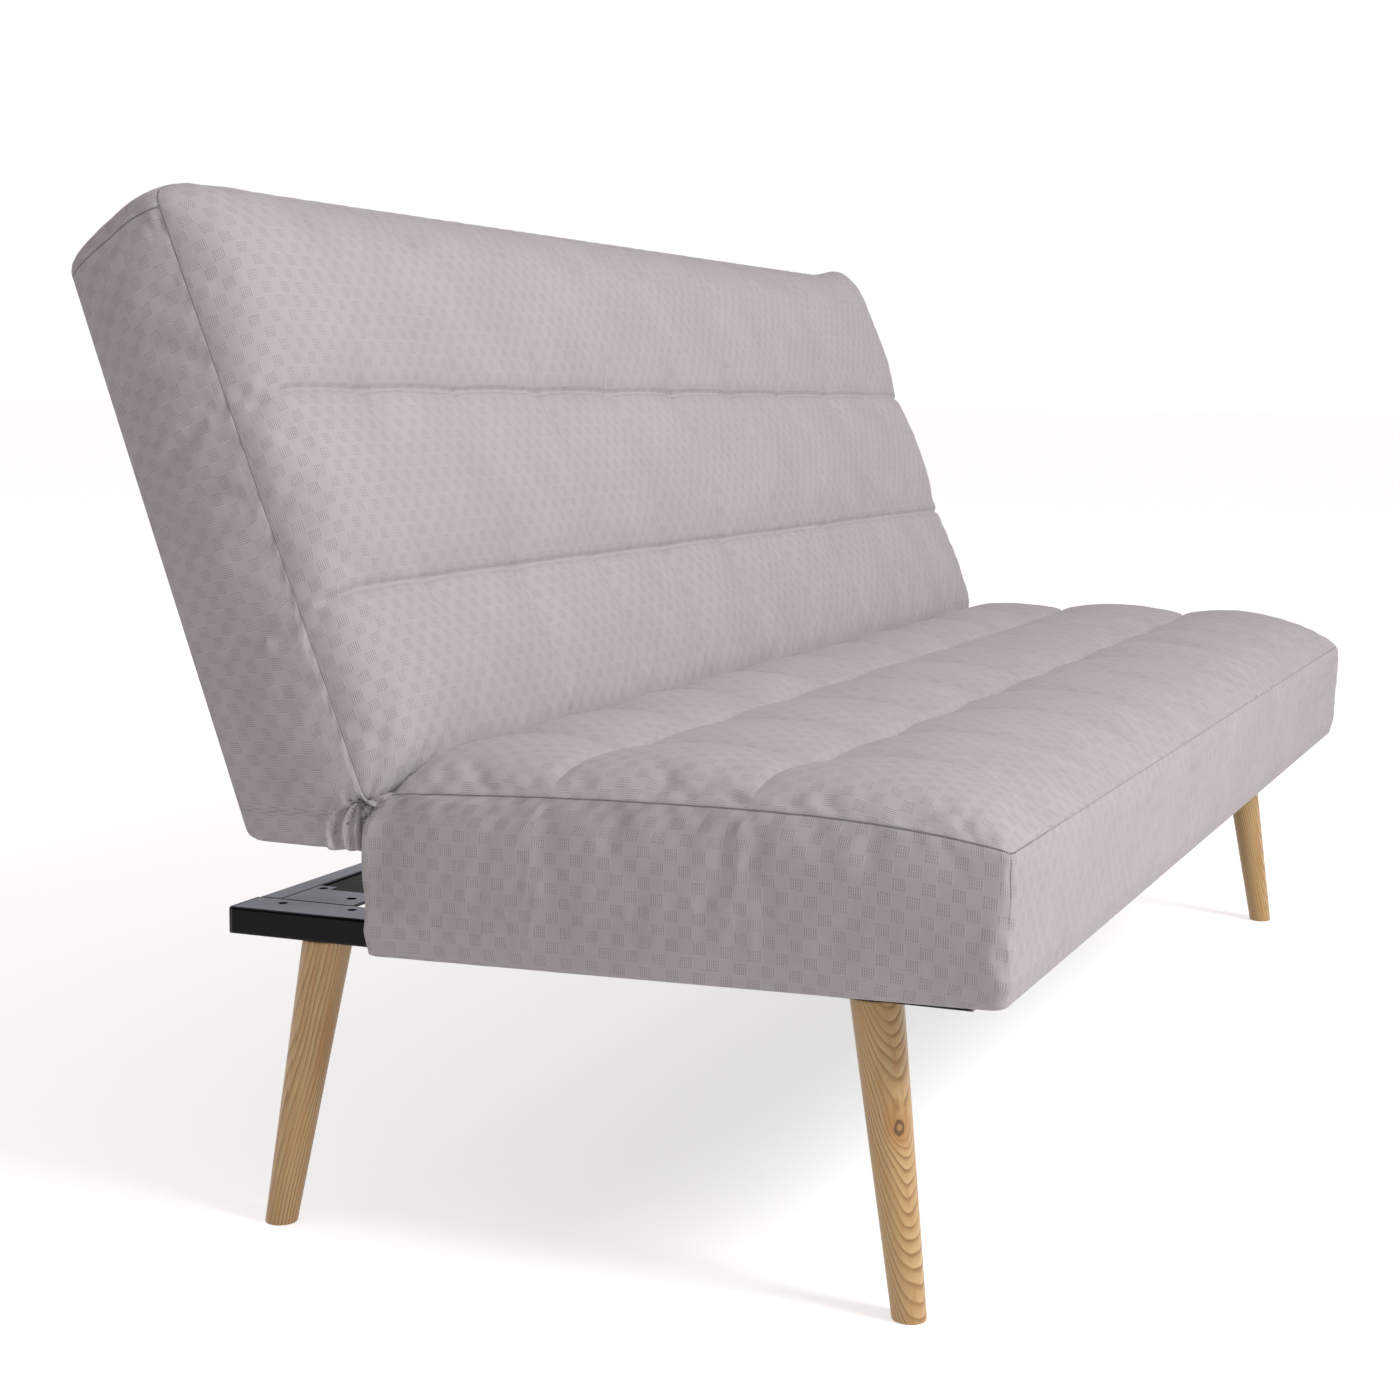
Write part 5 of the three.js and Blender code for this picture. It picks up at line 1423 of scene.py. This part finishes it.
@dataclass
class DustCover:
    """A thin black cloth stapled over the underside of a frame."""

    name: str
    body: str
    node: str
    half: float
    near: float
    far: float
    level: float
    frame_node: str
    place: Callable[[np.ndarray], np.ndarray]
    thickness: float = 1.0

    def build(self) -> bpy.types.Object:
        """Two slightly crinkled grids a thickness apart, joined round their edge."""
        shell = Shell()
        xs = np.linspace(-self.half, self.half, 146)
        ys = np.linspace(self.near, self.far, 43)
        x, y = np.meshgrid(xs, ys, indexing="ij")
        low = self.level + 0.12 * (1 + np.clip(cloud(x, y, (26, 17), 41), -1, 1))
        upper = shell.add(self.place(np.stack([x, y, low + self.thickness], axis=-1)))
        lower = shell.add(self.place(np.stack([x, y, low], axis=-1)))
        cloth = np.stack([x, y], axis=-1)
        far_away = np.full(cloth.shape, 50.0)
        shell.skin(upper, cloth, far_away)
        shell.skin(lower[::-1], cloth[::-1], far_away)
        band = np.stack([border(upper), border(lower)], axis=1)
        places = np.stack([np.stack([border(x), border(y)], -1)] * 2, axis=1)
        shell.skin(band[:, ::-1], places, np.full(places.shape, 50.0))
        return shell.make(self.name)

    def add(self, paints: Paintbox) -> bpy.types.Object:
        piece = self.build()
        paints.dress(piece, Finish.dust_fabric)
        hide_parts(self.node)
        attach(piece, self.body)
        return piece


@dataclass(frozen=True)
class Grain:
    """How a leg lies in the plank it was turned from.

    Seen from the side at turn degrees the year rings stand as nested points, and at right angles to that as
    straight lines. The knot is a place round the leg, its height, how deep it lies and how long it is drawn.
    """

    turn: float
    tilt: float
    knot: tuple[float, float, float, float]
    away: float = 32.0


@dataclass
class Leg:
    """A turned, tapered leg, splayed and cut level at both ends."""

    name: str
    along: int
    across: int
    top: tuple[float, float]
    grain: Grain
    height: float = 264.0
    gap: float = 0.3
    top_radius: float = 22.5
    foot_radius: float = 14.5
    splay_along: float = 40.0
    splay_side: float = 20.0
    bore_radius: float = 4.3
    bore_depth: float = 50.3

    def build(self, number: int) -> bpy.types.Object:
        """Level rings round a leaning cone.

        On each straight line of the cone, from foot to top, the point is taken where the line reaches the
        ring's height.
        """
        foot = np.array([self.top[0] + self.along * self.splay_side, self.top[1] + self.across * self.splay_along, 0])
        head = np.array([self.top[0], self.top[1], self.height])
        axis = (head - foot) / np.linalg.norm(head - foot)
        first = np.cross(axis, [0.0, 1.0, 0.0])
        first /= np.linalg.norm(first)
        second = np.cross(axis, first)
        length = np.linalg.norm(head - foot)
        turn = np.linspace(0, 2 * np.pi, 73)[:-1]
        spoke = first[None] * np.cos(turn)[:, None] + second[None] * np.sin(turn)[:, None]
        slope = (self.top_radius - self.foot_radius) / length
        line = axis[None] + slope * spoke
        start = foot[None] + self.foot_radius * spoke
        stop = self.height - self.gap
        levels = np.concatenate([[0.0, 0.5, 1.5], np.linspace(4, stop - 2, 60), [stop - 0.4, stop]])
        shave = np.interp(levels, [0, 0.5, 1.5, stop - 0.4, stop], [1.2, 0.35, 0, 0, 0.4])
        reach = (levels[None, :] - start[:, 2, None]) / line[:, 2, None]
        points = start[:, None, :] + reach[..., None] * line[:, None, :]
        middle = foot[None] + (levels[:, None] / self.height) * (head - foot)[None]
        inward = middle[None] - points
        inward /= np.linalg.norm(inward, axis=-1, keepdims=True)
        points = points + inward * shave[None, :, None]
        shell = Shell()
        bore_top = np.stack([np.cos(turn), np.sin(turn), 0 * turn], -1) * self.bore_radius + [*self.top, stop]
        bore_low = bore_top - [0, 0, self.bore_depth]
        grid = np.concatenate([points, bore_top[:, None], bore_low[:, None]], axis=1)
        numbers = shell.add(grid)
        closed = np.concatenate([numbers, numbers[:1]], axis=0)
        cloth = np.zeros((*closed.shape, 2))
        shell.skin(closed, cloth, cloth)
        shell.fan(numbers[::-1, 0], foot)
        shell.fan(numbers[:, -1], np.array([*self.top, stop - self.bore_depth]))
        piece = shell.make(self.name)
        places = np.empty(len(piece.data.vertices) * 3, np.float32)
        piece.data.vertices.foreach_get("co", places)
        offset = (places.reshape(-1, 3) / MM - foot) * MM
        own = np.stack([offset @ first, offset @ second, offset @ axis], axis=-1)
        faced = np.radians(self.grain.turn)
        away = self.grain.away * MM + self.grain.tilt * own[:, 2:]
        heart = away * np.array([[np.cos(faced), np.sin(faced), 0.0]]) + [0.0, 0.0, 400.0 * number * MM]
        timber = piece.data.attributes.new("timber", "FLOAT_VECTOR", "POINT")
        timber.data.foreach_set("vector", (own + heart).astype(np.float32).ravel())
        turned, level, depth, drawn = self.grain.knot
        turned = np.radians(turned)
        ahead = own[:, 0] * np.cos(turned) + own[:, 1] * np.sin(turned)
        aside = own[:, 1] * np.cos(turned) - own[:, 0] * np.sin(turned)
        up = (own[:, 2] - level * MM) / drawn
        beyond = np.where(ahead > 0, depth * MM, 0.1)
        knot = piece.data.attributes.new("knot", "FLOAT_VECTOR", "POINT")
        knot.data.foreach_set("vector", np.stack([aside, up, beyond], axis=-1).astype(np.float32).ravel())
        return piece

    def add(self, paints: Paintbox, number: int) -> bpy.types.Object:
        piece = self.build(number)
        paints.dress(piece, Finish.leg_wood)
        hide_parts(self.name.replace("turned_", ""))
        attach(piece, "base_and_seat")
        return piece


# The sofa bed


@dataclass
class SofaBed:
    """The whole sofa bed, placed from the hinge's axis."""

    paints: Paintbox
    hinge: tuple[float, float]
    front: float = 590.0
    leg_x: float = 835.0
    leg_front: float = 129.0
    leg_rear: float = 648.0

    def cushions(self) -> list[bpy.types.Object]:
        """The two cushions."""
        seat = SeatCushion(
            name="seat_cover_and_padding",
            body="base_and_seat",
            node="seat_cushion",
            rows=(0.0, 216.0, 394.0, 549.0),
            side=134.0,
            seam=410.0,
            crown=26.0,
            dip=6.0,
            crease=0.74,
            pillow=15.0,
            pillow_power=0.62,
            room=(876.0, 26.0, 548.0, 291.0, 329.4),
            foam=(848.2, 44.8, 529.2, 391.6),
            seed=11,
            hinge=self.hinge,
            inflation=Inflation(pressure=3.5, growth=0.01, cap=5.0),
        )
        back = BackCushion(
            name="back_cover_and_padding",
            body="back",
            node="back_cushion",
            rows=(0.0, 186.0, 366.0, 569.0),
            side=127.0,
            seam=24.0,
            crown=41.0,
            dip=5.0,
            crease=0.12,
            room=(876.0, 40.2, 540.0, -91.0, -52.7),
            foam=(851.8, 58.8, 521.2, 9.6),
            seed=23,
            hinge=self.hinge,
            crown_run=42.0,
            pillow_end=0.5,
            inflation=Inflation(pressure=3.0, growth=0.008, cap=6.0),
        )
        self.seat, self.back = seat, back
        return [seat.add(self.paints), back.add(self.paints)]

    def gathers(self) -> list[bpy.types.Object]:
        """The gathered cloth over both ends of the hinge."""
        return [HingeGather(self.hinge, side).add(self.paints) for side in (-1, 1)]

    def dust_covers(self) -> list[bpy.types.Object]:
        """The covers under the seat and behind the back."""
        under = DustCover(
            name="seat_dust_cloth",
            body="base_and_seat",
            node="seat_dust_cover",
            half=866.0,
            near=27.0,
            far=547.0,
            level=289.3,
            frame_node="seat_frame_near_rail",
            place=self.seat.placed,
        )
        behind = DustCover(
            name="back_dust_cloth",
            body="back",
            node="back_dust_cover",
            half=869.6,
            near=41.0,
            far=539.0,
            level=-92.7,
            frame_node="back_frame_near_rail",
            place=self.back.placed,
        )
        return [under.add(self.paints), behind.add(self.paints)]

    def legs(self) -> list[bpy.types.Object]:
        """The four legs."""
        front = self.hinge[0] - self.front
        made = []
        grains = (
            Grain(54.0, 0.22, (42.0, 160.0, 0.0, 1.5)),
            Grain(100.0, 0.1, (140.0, 60.0, 9.0, 2.0)),
            Grain(-58.0, 0.04, (74.0, 180.0, 7.0, 4.5)),
            Grain(20.0, 0.15, (200.0, 100.0, 9.0, 2.0)),
        )
        for end, across, at in (("front", -1, self.leg_front), ("rear", 1, self.leg_rear)):
            for side, along in (("left", -1), ("right", 1)):
                top = (along * self.leg_x, front + at)
                leg = Leg(f"turned_leg_{end}_{side}", along, across, top, grains[len(made)])
                made.append(leg.add(self.paints, len(made)))
        return made

    def carried_over(self) -> list[bpy.types.Object]:
        """Gives every CAD node that stays its finish."""
        slots = {part["node"]: part["material_slot"] for part in frame["record"]["subparts"]}
        kept = [node for node in frame["nodes"].values() if not node.hide_render]
        for node in kept:
            self.paints.dress(node, Finish[slots[node.name]])
        return kept


# The studio


@dataclass
class PhotoCamera:
    """The camera fitted to the photograph's corners, in millimetres and radians."""

    place: tuple[float, float, float] = (-2716.8243, -915.48, 750.2911)
    yaw: float = 1.1839
    pitch: float = 0.1229
    roll: float = 0.0100
    focal: float = 2452.6064
    frame_pixels: float = 1400.0
    sensor: float = 36.0

    def add(self) -> bpy.types.Object:
        """Places the camera: yaw from +Y towards +X, pitch down, and roll about the view."""
        data = bpy.data.cameras.new("photo_camera")
        data.sensor_width = self.sensor
        data.lens = self.focal / self.frame_pixels * self.sensor
        data.clip_end = 500
        ahead = Vector(
            (
                np.sin(self.yaw) * np.cos(self.pitch),
                np.cos(self.yaw) * np.cos(self.pitch),
                -np.sin(self.pitch),
            )
        )
        right = Vector((np.cos(self.yaw), -np.sin(self.yaw), 0.0))
        up = right.cross(ahead)
        turned_right = right * np.cos(self.roll) + up * np.sin(self.roll)
        turned_up = up * np.cos(self.roll) - right * np.sin(self.roll)
        matrix = Matrix((turned_right, turned_up, -ahead)).transposed().to_4x4()
        matrix.translation = Vector(self.place) * MM
        camera = bpy.data.objects.new("photo_camera", data)
        camera.matrix_world = matrix
        bpy.context.scene.collection.objects.link(camera)
        bpy.context.scene.camera = camera
        return camera


@dataclass
class Studio:
    """A plain white room with soft light from the front."""

    floor_size: float = 400.0
    ambient: float = 0.47
    ambient_tint: str = "fff7f5"
    dim_room: float = 0.1
    backdrop: tuple[float, float, float] = (0.85, 0.45, 0.27)

    def floor(self) -> bpy.types.Object:
        """A floor that shows white to the camera and keeps the sofa's shadow."""
        shell = Shell()
        half = self.floor_size / 2 / MM
        spots = np.linspace(-half, half, 5)
        x, y = np.meshgrid(spots, spots, indexing="ij")
        grid = np.stack([x, y, np.zeros_like(x)], axis=-1)
        flat = np.zeros((*x.shape, 2))
        shell.skin(shell.add(grid), flat, flat)
        floor = shell.make("studio_floor")
        t = Tree(bpy.data.materials.new("white_studio_floor"))
        path = t.add("LightPath")
        seen = t.add("Math MAXIMUM", path.outputs["Is Camera Ray"], path.outputs["Is Glossy Ray"])
        seen = t.add("Math MAXIMUM", seen, path.outputs["Is Transmission Ray"])
        plain = t.add("BsdfDiffuse", {"Color": linear("f2f2f2")})
        glow = t.add("Emission", {"Color": linear("ffffff"), "Strength": 0.6})
        mixed = t.add("MixShader", seen, plain, t.add("AddShader", plain, glow))
        floor.data.materials.append(t.finish(mixed))
        return floor

    def world(self) -> None:
        """White to the camera, a plain soft light on everything, and in reflections white only beyond the sofa.

        Gloss sees the white backdrop behind the sofa and the dim room on the near side of it.
        """
        world = bpy.data.worlds.new("studio_world")
        bpy.context.scene.world = world
        t = Tree(world)
        path = t.add("LightPath")
        heading = t.add("TexCoord").outputs["Generated"]
        beyond = t.add("VectorMath DOT_PRODUCT", heading, self.backdrop).outputs["Value"]
        dim = t.add("MapRange", beyond, -0.2, 0.5, self.dim_room, 1.0)
        glossy = t.add("Background", {"Color": linear("f1f1ff"), "Strength": dim})
        soft = t.add("Background", {"Color": linear(self.ambient_tint), "Strength": self.ambient})
        bright = t.add("Background", {"Color": linear("ffffff"), "Strength": 1.0})
        clear = t.add("Math MAXIMUM", path.outputs["Is Camera Ray"], path.outputs["Is Transmission Ray"])
        lit = t.add("MixShader", path.outputs["Is Glossy Ray"], soft, glossy)
        t.finish(t.add("MixShader", clear, lit, bright))

    def lamp(self, name: str, place: tuple[float, float, float], size: float, watts: float) -> bpy.types.Object:
        """A round soft lamp that faces the sofa."""
        data = bpy.data.lights.new(name, "AREA")
        data.shape = "DISK"
        data.size = size
        data.energy = watts
        lamp = bpy.data.objects.new(name, data)
        lamp.location = place
        lamp.rotation_euler = (Vector((0, 0, 0.45)) - Vector(place)).to_track_quat("-Z", "Y").to_euler()
        bpy.context.scene.collection.objects.link(lamp)
        return lamp

    def add(self) -> None:
        """Builds the studio."""
        self.floor()
        self.world()
        self.lamp("key_lamp", (-1.15, -3.8, 3.35), 1.8, 142)
        view = bpy.context.scene.view_settings
        view.view_transform = "Standard"


def hinge_axis() -> tuple[float, float]:
    """The back's axis in the part's frame, in millimetres: its y and z."""
    place = next(joint["pos_m"] for joint in frame["joints"] if joint["name"] == "back_recline")
    return place[1] / MM, place[2] / MM


def main() -> None:
    """Builds the studio and the sofa bed, piece by piece."""
    logging.basicConfig(level=logging.INFO, format="%(message)s")
    PhotoCamera().add()
    Studio().add()
    sofa = SofaBed(Paintbox(), hinge_axis())
    for build in (sofa.cushions, sofa.gathers, sofa.dust_covers, sofa.legs, sofa.carried_over):
        for piece in build():
            LOG.info("%s: %d faces", piece.name, len(piece.data.polygons))


if __name__ == "__main__":
    main()
